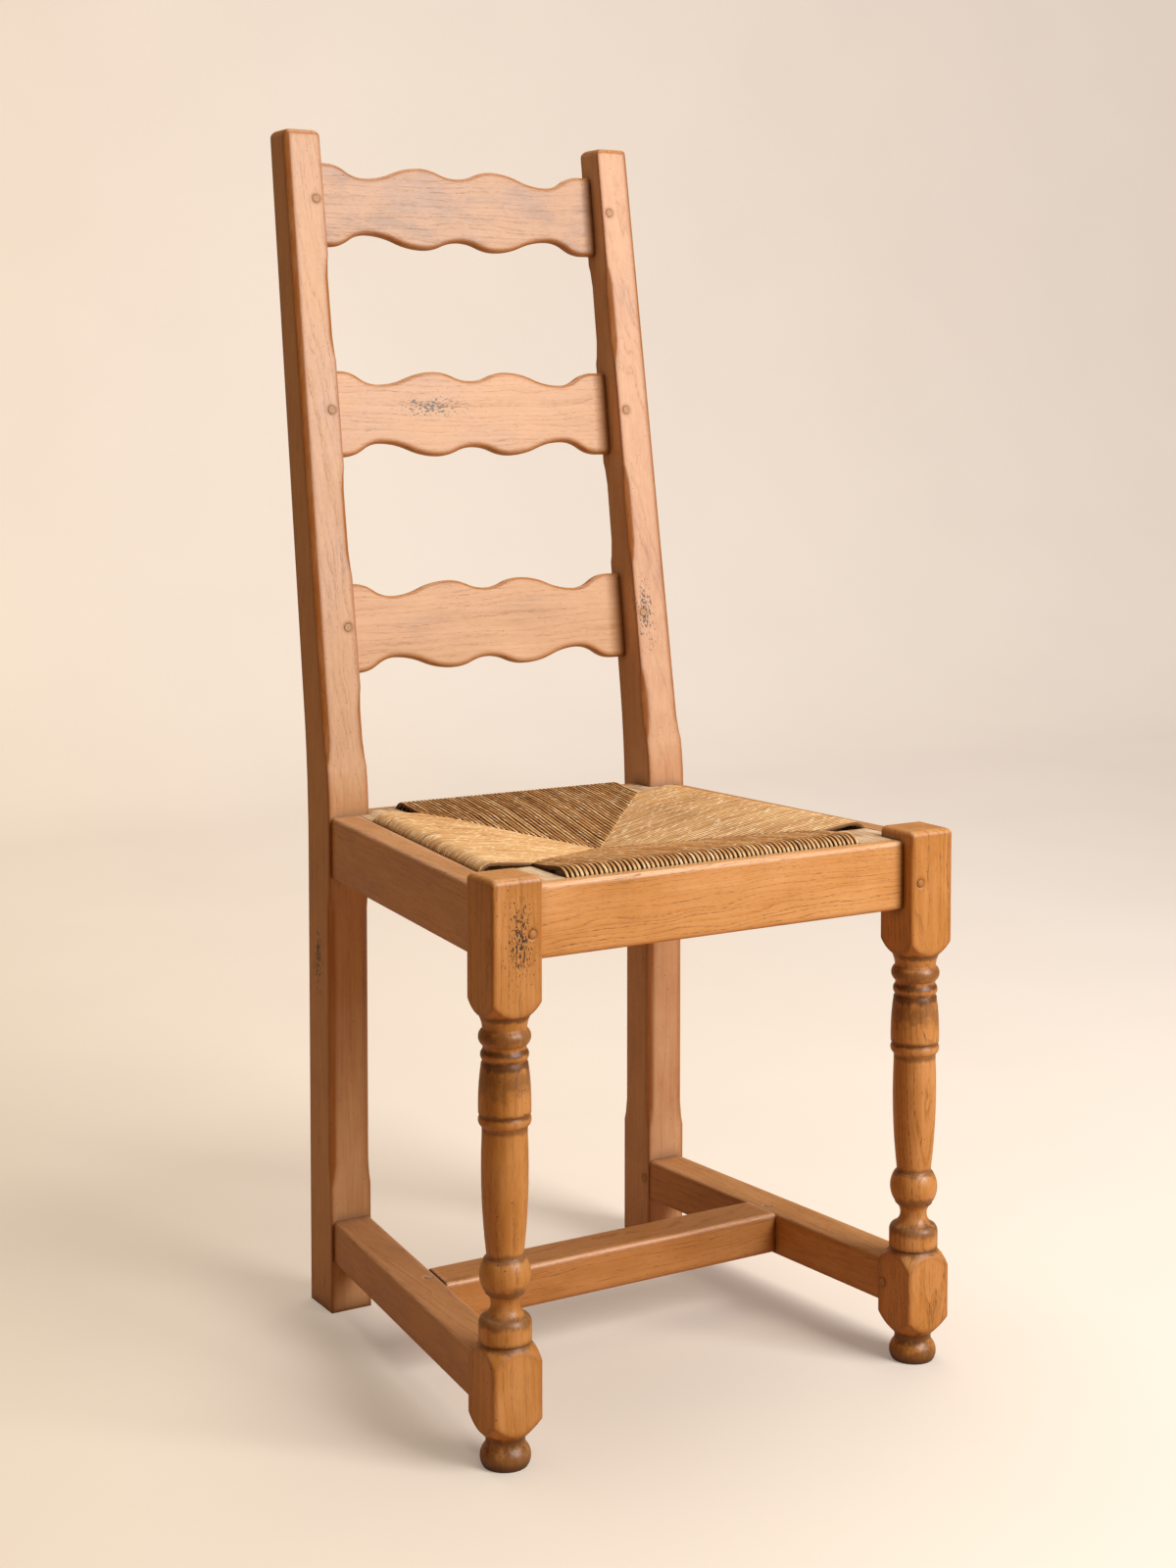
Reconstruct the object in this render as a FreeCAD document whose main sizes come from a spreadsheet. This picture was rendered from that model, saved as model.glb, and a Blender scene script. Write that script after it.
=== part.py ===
import FreeCAD, Part
import Sketcher
import math
import os

# Oak ladderback chair with a drop-in rush seat, in millimetres.
# +Z is up and the front faces -Y. Left and right are as seen by someone who stands in front of the
# chair, so +X is the right. The origin is on the floor under the middle of the chair.

doc = FreeCAD.newDocument("ladderback_chair")
sheet = doc.addObject("Spreadsheet::Sheet", "Dims")

SIZES = [
    ("leg_spacing", 417.0, "between the centres of the two front legs"),
    ("leg_side", 45.2, "side of the square front leg"),
    ("leg_height", 480.0, "front leg"),
    ("leg_arris", 2.5, "rounding of the leg's long edges"),
    ("leg_top_round", 5.0, "rounding round the leg's top"),
    ("leg_to_post", 336.2, "clear distance from front leg to back post"),
    ("post_gap", 312.0, "clear distance between the two back posts"),
    ("post_width", 40.5, "back post, seen from the front, below the seat"),
    ("post_top_width", 36.0, "back post, seen from the front, at the top"),
    ("post_depth", 46.8, "back post, seen from the side, below the seat"),
    ("post_top_depth", 34.0, "back post, seen from the side, at the top"),
    ("post_height", 1117.0, "back post"),
    ("post_lean", 102.4, "how far the front of the post's top stands behind its foot"),
    ("front_bend_rise", 20.0, "where the post's front face turns back, above the rails"),
    ("front_bend_radius", 250.0, "of that turn"),
    ("back_bend_rise", 30.0, "where the post's back face turns back, above the rails"),
    ("back_bend_radius", 900.0, "of that turn"),
    ("post_arris", 2.0, "rounding of the post's long edges"),
    ("post_top_round", 7.0, "rounding of the post's top"),
    ("chamfer_depth", 3.2, "how deep the posts' stopped chamfers cut into the corner"),
    ("chamfer_run", 24.0, "length of the curved end of a stopped chamfer"),
    ("chamfer_stop", 8.0, "uncut length of post between a chamfer and a slat or rail"),
    ("stretcher_stop", 30.0, "uncut length of post above the stretcher"),
    ("block_length", 87.0, "end of the leg's upper square block, below the leg's top"),
    ("lower_block_drop", 11.5, "top of the leg's lower square block, below the stretcher's top"),
    ("lower_block_overlap", 2.0, "bottom of that block, below the stretcher's underside"),
    ("turning_reach", 12.0, "how far the turned waste reaches past the leg's flat face"),
    ("shoulder_radius", 21.0, "turned leg under the upper block"),
    ("shoulder_drop", 113.0, "lower end of the upper shoulder, below the leg's top"),
    ("shoulder_bulge", 3.0, "how full the turned shoulder under the upper block is"),
    ("neck_radius", 18.2, "the three necks in the upper turning"),
    ("upper_bead_start", 124.0, "large upper bead, below the leg's top"),
    ("upper_bead_end", 137.0, "large upper bead, below the leg's top"),
    ("upper_bead_bulge", 3.2, "large upper bead"),
    ("small_bead_start", 141.0, "small upper bead, below the leg's top"),
    ("small_bead_end", 149.0, "small upper bead, below the leg's top"),
    ("small_bead_bulge", 1.5, "small upper bead"),
    ("vase_start", 151.5, "short vase under the beads, below the leg's top"),
    ("vase_end", 192.0, "short vase under the beads, below the leg's top"),
    ("vase_top_radius", 19.0, "short vase under the beads"),
    ("vase_bottom_radius", 21.4, "short vase under the beads"),
    ("vase_bulge", 0.9, "short vase under the beads"),
    ("ring_radius", 20.4, "ring at the foot of the vase"),
    ("ring_start", 194.0, "ring at the foot of the vase, below the leg's top"),
    ("ring_end", 201.5, "ring at the foot of the vase, below the leg's top"),
    ("ring_bulge", 1.2, "ring at the foot of the vase"),
    ("groove_radius", 18.6, "groove under the ring"),
    ("groove_start", 205.0, "groove under the ring, below the leg's top"),
    ("groove_end", 209.0, "groove under the ring, below the leg's top"),
    ("shaft_rise", 96.0, "long tapered shaft's lower end, above the lower block"),
    ("shaft_bottom_radius", 15.1, "long tapered shaft"),
    ("shaft_bulge", 2.0, "long tapered shaft"),
    ("lower_bead_radius", 17.0, "edge of the lower bead"),
    ("lower_bead_end", 93.5, "lower bead, above the lower block"),
    ("lower_bead_start", 67.5, "lower bead, above the lower block"),
    ("lower_bead_bulge", 4.0, "lower bead"),
    ("cove_end", 65.5, "deep cove under the lower bead, above the lower block"),
    ("cove_top_radius", 16.4, "deep cove under the lower bead"),
    ("cove_start", 45.5, "deep cove under the lower bead, above the lower block"),
    ("cove_bottom_radius", 19.4, "deep cove under the lower bead"),
    ("cove_depth", 6.1, "deep cove under the lower bead"),
    ("collar_radius", 21.6, "plain collar over the lower block"),
    ("collar_rise", 25.5, "plain collar, above the lower block"),
    ("foot_shoulder_bulge", 0.9, "how full the shoulder over the foot is"),
    ("foot_neck_radius", 17.2, "neck over the foot"),
    ("foot_neck_length", 8.0, "neck over the foot"),
    ("foot_top", 16.5, "round foot"),
    ("foot_radius", 18.6, "flat underside of the round foot"),
    ("foot_bulge", 2.9, "round foot"),
    ("foot_neck_hollow", 1.1, "neck over the foot"),
    ("fine_hollow", 0.5, "narrow hollows between the turned beads"),
    ("neck_lip", 1.5, "straight neck over the large upper bead"),
    ("collar_lip", 1.1, "step and groove under the plain collar"),
    ("collar_bulge", 2.0, "shoulder over the lower block"),
    ("collar_drop", 5.0, "hollow over the plain collar"),
    ("rail_height", 57.5, "seat rails"),
    ("end_rail_drop", 2.5, "how much lower the front and back rails reach than the side rails"),
    ("leg_above_rail", 10.0, "seat rails, below the leg's top"),
    ("ledge_depth", 30.0, "ledge that the seat rests on, below the rails' top"),
    ("rail_round", 4.0, "rounding of the rails' outer top edge"),
    ("rail_arris", 2.0, "rounding of the rails' lower edges"),
    ("front_rail_setback", 12.6, "front rail behind the leg's front face"),
    ("back_rail_setback", 15.1, "back rail in front of the post's back face"),
    ("rail_lip", 12.9, "top of the front and back rails beside the seat"),
    ("rail_ledge", 12.0, "width of the ledge in the front and back rails"),
    ("side_setback_front", 4.1, "side rails and stretchers inside the leg's outer face"),
    ("side_setback_back", 2.4, "side rails and stretchers inside the post's outer face"),
    ("side_lip_front", 22.5, "top of a side rail beside the seat, at the leg"),
    ("side_lip_back", 27.4, "top of a side rail beside the seat, at the post"),
    ("side_ledge", 10.0, "width of the ledge in the side rails"),
    ("rail_tenon_thickness", 10.0, "seat rail tenons"),
    ("rail_tenon_lift", 6.0, "seat rail tenons, above the rails' underside"),
    ("rail_tenon_drop", 8.0, "seat rail tenons, below the rails' top"),
    ("front_tenon_length", 22.0, "front rail tenon"),
    ("back_tenon_length", 16.0, "back rail tenon"),
    ("side_tenon_length", 16.0, "side rail tenon"),
    ("stretcher_top", 87.5, "top of all stretchers"),
    ("side_stretcher_height", 39.5, "side stretchers"),
    ("side_stretcher_width", 37.5, "side stretchers"),
    ("cross_stretcher_height", 37.0, "cross stretcher"),
    ("cross_stretcher_width", 43.5, "cross stretcher"),
    ("cross_stretcher_shift", 4.2, "cross stretcher in front of halfway between leg and post"),
    ("stretcher_round", 4.0, "worn rounding of the stretchers' top edges"),
    ("stretcher_arris", 2.0, "rounding of the stretchers' lower edges"),
    ("stretcher_tenon_length", 21.0, "side stretcher tenon"),
    ("stretcher_tenon_thickness", 14.0, "stretcher tenons"),
    ("stretcher_tenon_inset", 5.0, "stretcher tenon inside the stretcher's top and bottom"),
    ("cross_tenon_length", 20.0, "cross stretcher tenon"),
    ("cross_tenon_width", 30.0, "cross stretcher tenon"),
    ("cross_tenon_inset", 10.0, "cross stretcher tenon inside its top and bottom"),
    ("tenon_clearance", 0.1, "round a tenon in its mortise"),
    ("slat_thickness", 12.5, "slats"),
    ("slat_to_back", 15.6, "slat's front face in front of the post's back face"),
    ("top_slat_height", 81.6, "width of the top slat"),
    ("middle_slat_height", 83.4, "width of the middle slat"),
    ("lower_slat_height", 85.4, "width of the lower slat"),
    ("top_slat_drop", 69.4, "middle of the top slat, below the post's top"),
    ("middle_slat_shift", 1.3, "middle slat above halfway between the other two"),
    ("lower_slat_rise", 170.2, "middle of the lower slat, above the rails"),
    ("slat_flat_end", 14.0, "straight end of a slat's wavy edge"),
    ("slat_dip_place", 102.0, "outer dip of the wavy edge, from the chair's middle"),
    ("slat_dip", 13.0, "depth of the outer dips"),
    ("slat_crest_place", 40.0, "crest of the wavy edge, from the chair's middle"),
    ("slat_middle_dip", 8.8, "depth of the dip in the middle"),
    ("slat_round", 4.0, "rounding of the slats' wavy edges"),
    ("slat_tenon_length", 20.0, "slat tenon"),
    ("slat_tenon_thickness", 8.0, "slat tenon"),
    ("slat_tenon_inset", 12.0, "slat tenon inside the slat's top and bottom"),
    ("peg_radius", 3.6, "wooden pegs"),
    ("peg_clearance", 0.05, "round a peg in its hole"),
    ("peg_proud", 0.4, "how far a peg stands out of the wood"),
    ("slat_peg_place", 8.2, "slat peg, from the post's inner face"),
    ("rail_peg_place", 9.5, "front rail peg, from the leg's inner face"),
    ("rail_peg_lift", 21.5, "front rail peg, above the rail's underside"),
    ("rail_peg_length", 32.0, "front rail peg"),
    ("stretcher_peg_place", 8.0, "side stretcher peg, from the stretcher's shoulder"),
    ("leg_peg_length", 36.0, "side stretcher peg in the leg"),
    ("post_peg_length", 33.0, "side stretcher peg in the post"),
    ("cross_peg_place", 8.5, "cross stretcher peg, from the side stretcher's inner face"),
    ("cross_peg_length", 30.0, "cross stretcher peg"),
    ("seat_clearance", 0.8, "between the drop-in seat and the rails, legs and posts"),
    ("block_length_front", 57.0, "front corner blocks, along the side of the seat"),
    ("block_length_back", 53.0, "back corner blocks, along the side of the seat"),
    ("front_block_reach", 36.9, "front corner blocks, inwards from the leg"),
    ("back_block_reach", 36.0, "back corner blocks, inwards from the post"),
    ("block_chamfer", 0.8, "top edges of the corner blocks"),
    ("bar_thickness", 20.0, "seat frame bars"),
    ("bar_drop", 4.5, "seat frame bars, below the rails' top"),
    ("bar_width", 30.0, "seat frame bars"),
    ("bar_tenon_width", 22.0, "seat frame tenons"),
    ("bar_tenon_thickness", 8.0, "seat frame tenons"),
    ("front_bar_tenon", 22.0, "length of the front bar's tenon"),
    ("back_bar_tenon", 34.0, "length of the back bar's tenon"),
    ("side_bar_tenon", 16.0, "length of the side bars' tenons"),
    ("rush_wrap", 4.2, "thickness of the rush outside the bars"),
    ("rush_clearance", 0.3, "between the rush and the wood beside it"),
    ("rush_ledge_clearance", 0.4, "between the rush and the rails' ledges"),
    ("rush_shoulder_drop", 2.0, "where the rush starts to round over its bar, below the rails' top"),
    ("rush_crown_rise", 7.5, "top of the rush over its bar, above the rails"),
    ("rush_crown_place", 15.0, "crown of the rush, from its outer face"),
    ("rush_crown_bulge", 3.4, "rounding of the rush over its bar"),
    ("rush_slope_place", 72.0, "where the rush starts to fall to the middle"),
    ("rush_slope_rise", 0.5, "top of the rush where it starts to fall, above the rails"),
    ("rush_slope_bulge", 1.2, "roundness between crown and slope"),
    ("rush_middle_drop", 22.0, "top of the rush at the middle of the seat, below the rails' top"),
    ("rush_centre_shift", 9.3, "middle of the weave behind halfway between leg and post"),
    ("stuffing_lift", 6.0, "stuffing between the two layers of rush, above the ledges"),
    ("stuffing_thickness", 8.5, "stuffing between the two layers of rush"),
    ("stuffing_margin", 9.0, "rush left beside the stuffing at the diagonals"),
    ("stuffing_depth", 78.0, "stuffing, from the bar towards the middle"),
    ("stuffing_taper", 58.0, "how much shorter the side stuffing's inner edge is at each end"),
    ("nail_radius", 0.9, "nail through a back corner block"),
    ("nail_head_radius", 1.7, "nail head"),
    ("nail_head_thickness", 1.2, "nail head"),
    ("nail_length", 20.0, "nail"),
    ("nail_x", 6.2, "nail, from the post's inner face"),
    ("nail_y", 8.0, "nail, from the post's front face"),
]
for row, (name, size, note) in enumerate(SIZES, start=1):
    sheet.set(f"A{row}", name)
    sheet.set(f"B{row}", str(size))
    sheet.set(f"C{row}", note)
    sheet.setAlias(f"B{row}", name)
doc.recompute()


# Levels and places that several pieces share, from the sizes above.
SHARED = {
    "rail_top": "{leg_height} - {leg_above_rail}",
    "rail_bottom": "{rail_top} - {rail_height}",
    "ledge_height": "{rail_top} - {ledge_depth}",
    "rail_peg_height": "{rail_bottom} + {rail_peg_lift}",
    "front_bend_height": "{rail_top} + {front_bend_rise}",
    "back_bend_height": "{rail_top} + {back_bend_rise}",
    "top_slat_place": "{post_height} - {top_slat_drop}",
    "lower_slat_place": "{rail_top} + {lower_slat_rise}",
    "middle_slat_place": "({top_slat_place} + {lower_slat_place}) / 2 + {middle_slat_shift}",
    "side_stretcher_bottom": "{stretcher_top} - {side_stretcher_height}",
    "cross_stretcher_bottom": "{stretcher_top} - {cross_stretcher_height}",
    "stretcher_peg_height": "{stretcher_top} - {side_stretcher_height} / 2",
    "cross_stretcher_place": "{leg_to_post} / 2 - {cross_stretcher_shift}",
    "block_bottom": "{leg_height} - {block_length}",
    "lower_block_top": "{stretcher_top} - {lower_block_drop}",
    "lower_block_bottom": "{side_stretcher_bottom} - {lower_block_overlap}",
    "front_block_place": "{leg_spacing} / 2 - {leg_side} / 2 - {front_block_reach}",
    "back_block_place": "{post_gap} / 2 - {back_block_reach}",
    "bar_top": "{rail_top} - {bar_drop}",
    "bar_bottom": "{bar_top} - {bar_thickness}",
    "rush_bottom": "{ledge_height} + {rush_ledge_clearance}",
    "rush_shoulder": "{rail_top} - {rush_shoulder_drop}",
    "rush_crown": "{rail_top} + {rush_crown_rise}",
    "rush_slope_height": "{rail_top} + {rush_slope_rise}",
    "rush_middle": "{rail_top} - {rush_middle_drop}",
    "rush_centre_place": "{leg_to_post} / 2 + {rush_centre_shift}",
    "stuffing_bottom": "{ledge_height} + {stuffing_lift}",
    "stuffing_top": "{stuffing_bottom} + {stuffing_thickness}",
}


def cells(text):
    """Turn the plain size names in a formula into references to the sheet."""
    while any("{" + name + "}" in text for name in SHARED):
        for name, formula in SHARED.items():
            text = text.replace("{" + name + "}", f"({formula})")
    for name, _, _ in SIZES:
        text = text.replace("{" + name + "}", "Dims." + name)
    return text


def number(expression):
    """The present value of a formula."""
    found = sheet.evalExpression(expression)
    return float(getattr(found, "Value", found))


# Places that follow from the sizes. The pegs in the legs' front faces and the back of the posts' tops
# are equally far from the origin.
BACK_LEAN = cells("(({post_lean} + {post_top_depth} - {post_depth}) / ({post_height} - {back_bend_height}))")
FRONT_LEAN = cells("({post_lean} / ({post_height} - {front_bend_height}))")
LEAN_LENGTH = f"sqrt(1 + {BACK_LEAN}^2)"
TOP_LOSS = cells("({post_top_round} * (" + BACK_LEAN + " + " + LEAN_LENGTH + " - 1))")
DEPTH = cells(
    "({peg_proud} + {leg_side} + {leg_to_post} + {post_lean} + {post_top_depth} - " + TOP_LOSS + ")"
)
LEG_FRONT = cells("({peg_proud} - " + DEPTH + " / 2)")
LEG_CENTRE = cells("(" + LEG_FRONT + " + {leg_side} / 2)")
LEG_BACK = cells("(" + LEG_FRONT + " + {leg_side})")
POST_FRONT = cells("(" + LEG_BACK + " + {leg_to_post})")
POST_BACK = cells("(" + POST_FRONT + " + {post_depth})")
LEG_X = cells("({leg_spacing} / 2)")
LEG_INNER = cells("({leg_spacing} / 2 - {leg_side} / 2)")
LEG_OUTER = cells("({leg_spacing} / 2 + {leg_side} / 2)")
POST_INNER = cells("({post_gap} / 2)")
POST_OUTER = cells("({post_gap} / 2 + {post_width})")

FRONT_RAIL_FACE = cells("(" + LEG_FRONT + " + {front_rail_setback})")
FRONT_RECESS = cells("(" + FRONT_RAIL_FACE + " + {rail_lip})")
FRONT_RAIL_INNER = cells("(" + FRONT_RECESS + " + {rail_ledge})")
BACK_RAIL_FACE = cells("(" + POST_BACK + " - {back_rail_setback})")
BACK_RECESS = cells("(" + BACK_RAIL_FACE + " - {rail_lip})")
BACK_RAIL_INNER = cells("(" + BACK_RECESS + " - {rail_ledge})")

SEAT_FRONT = cells("(" + FRONT_RECESS + " + {seat_clearance})")
SEAT_BACK = cells("(" + BACK_RECESS + " - {seat_clearance})")
FRONT_BLOCK_END = cells("(" + SEAT_FRONT + " + {block_length_front})")
BACK_BLOCK_END = cells("(" + SEAT_BACK + " - {block_length_back})")
WEAVE_Y = cells("(" + LEG_BACK + " + {rush_centre_place})")


def mix(at_leg, at_post, y):
    """A distance that changes evenly from the front legs to the back posts."""
    return f"({at_leg} + ({at_post} - {at_leg}) * ({y} - {LEG_BACK}) / ({POST_FRONT} - {LEG_BACK}))"


def side_face(y):
    """Outer face of the side rails and stretchers, from the chair's middle."""
    at_leg = cells("(" + LEG_OUTER + " - {side_setback_front})")
    at_post = cells("(" + POST_OUTER + " - {side_setback_back})")
    return mix(at_leg, at_post, y)


def side_recess(y):
    """Inner edge of a side rail's lip, from the chair's middle."""
    at_leg = cells("(" + LEG_OUTER + " - {side_setback_front} - {side_lip_front})")
    at_post = cells("(" + POST_OUTER + " - {side_setback_back} - {side_lip_back})")
    return mix(at_leg, at_post, y)


def seat_side(y):
    """Outer face of the drop-in seat, from the chair's middle."""
    return cells("(" + side_recess(y) + " - {seat_clearance})")


def post_front(z):
    """Front face of the leaning part of a post."""
    return cells("(" + POST_FRONT + " + (" + z + " - {front_bend_height}) * " + FRONT_LEAN + ")")


def post_back(z):
    """Back face of the leaning part of a post."""
    return cells("(" + POST_BACK + " + (" + z + " - {back_bend_height}) * " + BACK_LEAN + ")")


def slat_front(z):
    """Front face of a slat, whose boards lean with the back of the posts."""
    return cells("(" + post_back(z) + " - {slat_to_back})")


NORMAL_PLACE = {"XY": 2, "XZ": 1, "YZ": 0}
PLANE_AXES = {"XY": (0, 1), "XZ": (0, 2), "YZ": (1, 2)}
LONG_EDGE = 60.0
OVERCUT = "1"
nodes = []


class Piece:
    """One wooden or woven piece, built as a body of sketches and features.

    Points and levels are given in the chair's own frame. The piece has its own place, and they are
    carried over to it here.
    """

    def __init__(self, name, x="0", y="0", z="0", tilted=False):
        self.body = doc.addObject("PartDesign::Body", name)
        self.body.Label = name
        self.base = (x, y, z)
        for axis, expression in zip("xyz", self.base):
            self.body.setExpression(f"Placement.Base.{axis}", expression)
        if tilted:
            self.body.Placement.Rotation = FreeCAD.Rotation(FreeCAD.Vector(-1, 0, 0), 1)
            self.body.setExpression("Placement.Rotation.Angle", f"atan({BACK_LEAN})")
            self.base = ("0", "0", "0")
        nodes.append(self.body)

    def plane(self, name):
        for feature in self.body.Origin.OriginFeatures:
            if feature.Role == name + "_Plane":
                return feature
        raise RuntimeError("no plane " + name)

    def local(self, plane, point):
        first, second = PLANE_AXES[plane]
        return (f"({point[0]} - ({self.base[first]}))", f"({point[1]} - ({self.base[second]}))")

    def sketch(self, plane, level, turn=None):
        sketch = self.body.newObject("Sketcher::SketchObject", self.body.Name + "_sketch")
        sketch.AttachmentSupport = [(self.plane(plane), "")]
        sketch.MapMode = "FlatFace"
        offset = f"({level} - ({self.base[NORMAL_PLACE[plane]]}))"
        if plane == "XZ":
            offset = f"(0 - {offset})"
        if turn:
            sketch.AttachmentOffset = FreeCAD.Placement(FreeCAD.Vector(), turn)
        sketch.setExpression("AttachmentOffset.Base.z", offset)
        return sketch

    def extrude(self, kind, plane, loops, low, high):
        """Pad or Pocket the closed loops between two levels along the plane's axis."""
        adds = kind == "Pad"
        start = low if adds else high
        if plane == "XZ":
            start = high if adds else low
        sketch = self.sketch(plane, start)
        for loop in loops:
            draw(sketch, [self.step(plane, step) for step in loop])
        feature = self.body.newObject("PartDesign::" + kind, self.body.Name + "_" + kind.lower())
        feature.Profile = sketch
        feature.setExpression("Length", f"({high}) - ({low})")
        return feature

    def step(self, plane, step):
        return self.local(plane, step[:2]) + tuple(step[2:])

    def pad(self, plane, loops, low, high):
        return self.extrude("Pad", plane, loops, low, high)

    def cut(self, plane, loops, low, high):
        return self.extrude("Pocket", plane, loops, low, high)

    def bore(self, plane, centres, radius, low, high):
        """Cut round holes between two levels along the plane's axis."""
        sketch = self.sketch(plane, low if plane == "XZ" else high)
        for centre in centres:
            circle(sketch, self.local(plane, centre), radius)
        feature = self.body.newObject("PartDesign::Pocket", self.body.Name + "_bore")
        feature.Profile = sketch
        feature.setExpression("Length", f"({high}) - ({low})")
        return feature

    def round(self, choose, radius):
        """Round the edges of the piece so far for which choose says yes."""
        return self.dress("Fillet", "Radius", choose, radius)

    def chamfer(self, choose, size):
        return self.dress("Chamfer", "Size", choose, size)

    def dress(self, kind, field, choose, size):
        doc.recompute()
        base = self.body.Tip
        names = [f"Edge{i}" for i, edge in enumerate(base.Shape.Edges, start=1) if choose(edge)]
        if not names:
            raise RuntimeError("no edge to dress on " + self.body.Label)
        feature = self.body.newObject("PartDesign::" + kind, self.body.Name + "_" + kind.lower())
        feature.Base = (base, names)
        feature.setExpression(field, size)
        return feature


def draw(sketch, steps):
    """Draw one closed loop.

    A step is a corner (x, y) that the line from the corner before runs to, or (x, y, bulge) for an arc
    that stands out by bulge to the right of the way there, or (x, y, radius, side) for an arc of that
    radius that curves round a centre on that side, 1 for left and -1 for right.
    """
    corners = [(number(step[0]), number(step[1])) for step in steps]
    edges = []
    radii = []
    for i, step in enumerate(steps):
        ax, ay = corners[i - 1]
        bx, by = corners[i]
        chord = math.hypot(bx - ax, by - ay)
        x_step = f"({step[0]} - {steps[i - 1][0]})"
        y_step = f"({step[1]} - {steps[i - 1][1]})"
        bulge = 0
        radius = None
        if len(step) == 3:
            bulge = number(step[2])
            radius = f"((({x_step})^2 + ({y_step})^2) / 4 + ({step[2]})^2) / (2 * abs({step[2]}))"
        elif len(step) == 4:
            radius = step[2]
            size = number(radius)
            bulge = step[3] * (size - math.sqrt(size * size - chord * chord / 4))
        start = FreeCAD.Vector(ax, ay, 0)
        end = FreeCAD.Vector(bx, by, 0)
        if radius:
            side = FreeCAD.Vector(by - ay, ax - bx, 0) * (bulge / chord)
            edges.append(Part.Arc(start, (start + end) * 0.5 + side, end))
        else:
            edges.append(Part.LineSegment(start, end))
        radii.append(radius)
    first = sketch.GeometryCount
    sketch.addGeometry(edges, False)
    ends = []
    for i, edge in enumerate(edges):
        start = FreeCAD.Vector(*corners[i - 1], 0)
        begins = (sketch.getPoint(first + i, 1) - start).Length
        finishes = (sketch.getPoint(first + i, 2) - start).Length
        ends.append((1, 2) if begins < finishes else (2, 1))
    constraints = []
    formulas = []
    for i, step in enumerate(steps):
        after = (i + 1) % len(steps)
        constraints.append(
            Sketcher.Constraint("Coincident", first + i, ends[i][1], first + after, ends[after][0])
        )
        formulas.append(None)
        for place, kind in enumerate(("DistanceX", "DistanceY")):
            constraints.append(Sketcher.Constraint(kind, -1, 1, first + i, ends[i][1], corners[i][place]))
            formulas.append(step[place])
        if radii[i]:
            constraints.append(Sketcher.Constraint("Radius", first + i, number(radii[i])))
            formulas.append(radii[i])
    bind(sketch, constraints, formulas)


def circle(sketch, centre, radius):
    """Draw one circle."""
    place = FreeCAD.Vector(number(centre[0]), number(centre[1]), 0)
    found = sketch.addGeometry(Part.Circle(place, FreeCAD.Vector(0, 0, 1), number(radius)), False)
    constraints = [
        Sketcher.Constraint("DistanceX", -1, 1, found, 3, place.x),
        Sketcher.Constraint("DistanceY", -1, 1, found, 3, place.y),
        Sketcher.Constraint("Radius", found, number(radius)),
    ]
    bind(sketch, constraints, [centre[0], centre[1], radius])


def bind(sketch, constraints, formulas):
    """Add constraints and tie each to its formula in the sheet's sizes."""
    first = sketch.ConstraintCount
    sketch.addConstraint(constraints)
    for i, formula in enumerate(formulas):
        if formula:
            sketch.setExpression(f"Constraints[{first + i}]", formula)


def box_loop(x_low, x_high, y_low, y_high):
    """The four corners of a rectangle."""
    return [(x_low, y_low), (x_high, y_low), (x_high, y_high), (x_low, y_high)]


def mirrored(side, loop):
    """The same loop on the chair's left (-1) or right (1) side, in a plane that has X as its first axis."""
    if side > 0:
        return loop
    return [(f"(0 - {step[0]})",) + tuple(step[1:2]) for step in loop]


def span(side, inner, outer):
    """Lower and upper X of a stretch given from the chair's middle outwards."""
    if side > 0:
        return inner, outer
    return f"(0 - {outer})", f"(0 - {inner})"


def upright(edge):
    """A straight edge that runs along Z."""
    step = edge.Vertexes[-1].Point - edge.Vertexes[0].Point
    return step.Length > 1 and abs(step.z) > 0.999 * step.Length


def sideways(edge):
    """A straight edge that runs along X."""
    step = edge.Vertexes[-1].Point - edge.Vertexes[0].Point
    return step.Length > 1 and abs(step.x) > 0.999 * step.Length


def middle(edge):
    return edge.CenterOfMass


def near(value, target):
    return abs(value - target) < 0.01


# The stretches of mortise and peg that several pieces share.
RAIL_TENON = (cells("({rail_bottom} + {rail_tenon_lift})"), cells("({rail_top} - {rail_tenon_drop})"))
STRETCHER_TENON = (
    cells("({side_stretcher_bottom} + {stretcher_tenon_inset})"),
    cells("({stretcher_top} - {stretcher_tenon_inset})"),
)
CROSS_TENON = (
    cells("({cross_stretcher_bottom} + {cross_tenon_inset})"),
    cells("({stretcher_top} - {cross_tenon_inset})"),
)
CROSS_Y = cells("(" + LEG_BACK + " + {cross_stretcher_place})")
PEG_HOLE = cells("({peg_radius} + {peg_clearance})")
RAIL_PEG_X = cells("(" + LEG_INNER + " + {rail_peg_place})")
RAIL_PEG_END = cells("(" + LEG_FRONT + " + {rail_peg_length})")
LEG_PEG_Y = cells("(" + LEG_BACK + " - {stretcher_peg_place})")
POST_PEG_Y = cells("(" + POST_FRONT + " + {stretcher_peg_place})")
PEG_TIP_ROOM = "1"
SLATS = ("top_slat", "middle_slat", "lower_slat")


def grown(low, high):
    """A stretch of mortise, a little larger than its tenon."""
    return cells("(" + low + " - {tenon_clearance})"), cells("(" + high + " + {tenon_clearance})")


def side_tenon(side, middle_at, thickness, y_low, y_high, room="0"):
    """Plan of a tenon that runs with a side rail or stretcher, widened by room."""
    half = f"({thickness} / 2 + {room})"
    loop = [
        (f"({middle_at(y_low)} - {half})", y_low),
        (f"({middle_at(y_low)} + {half})", y_low),
        (f"({middle_at(y_high)} + {half})", y_high),
        (f"({middle_at(y_high)} - {half})", y_high),
    ]
    return mirrored(side, loop)


def rail_middle(y):
    """Middle of a side rail's lip, where its tenon is."""
    return f"(({side_face(y)} + {side_recess(y)}) / 2)"


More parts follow.
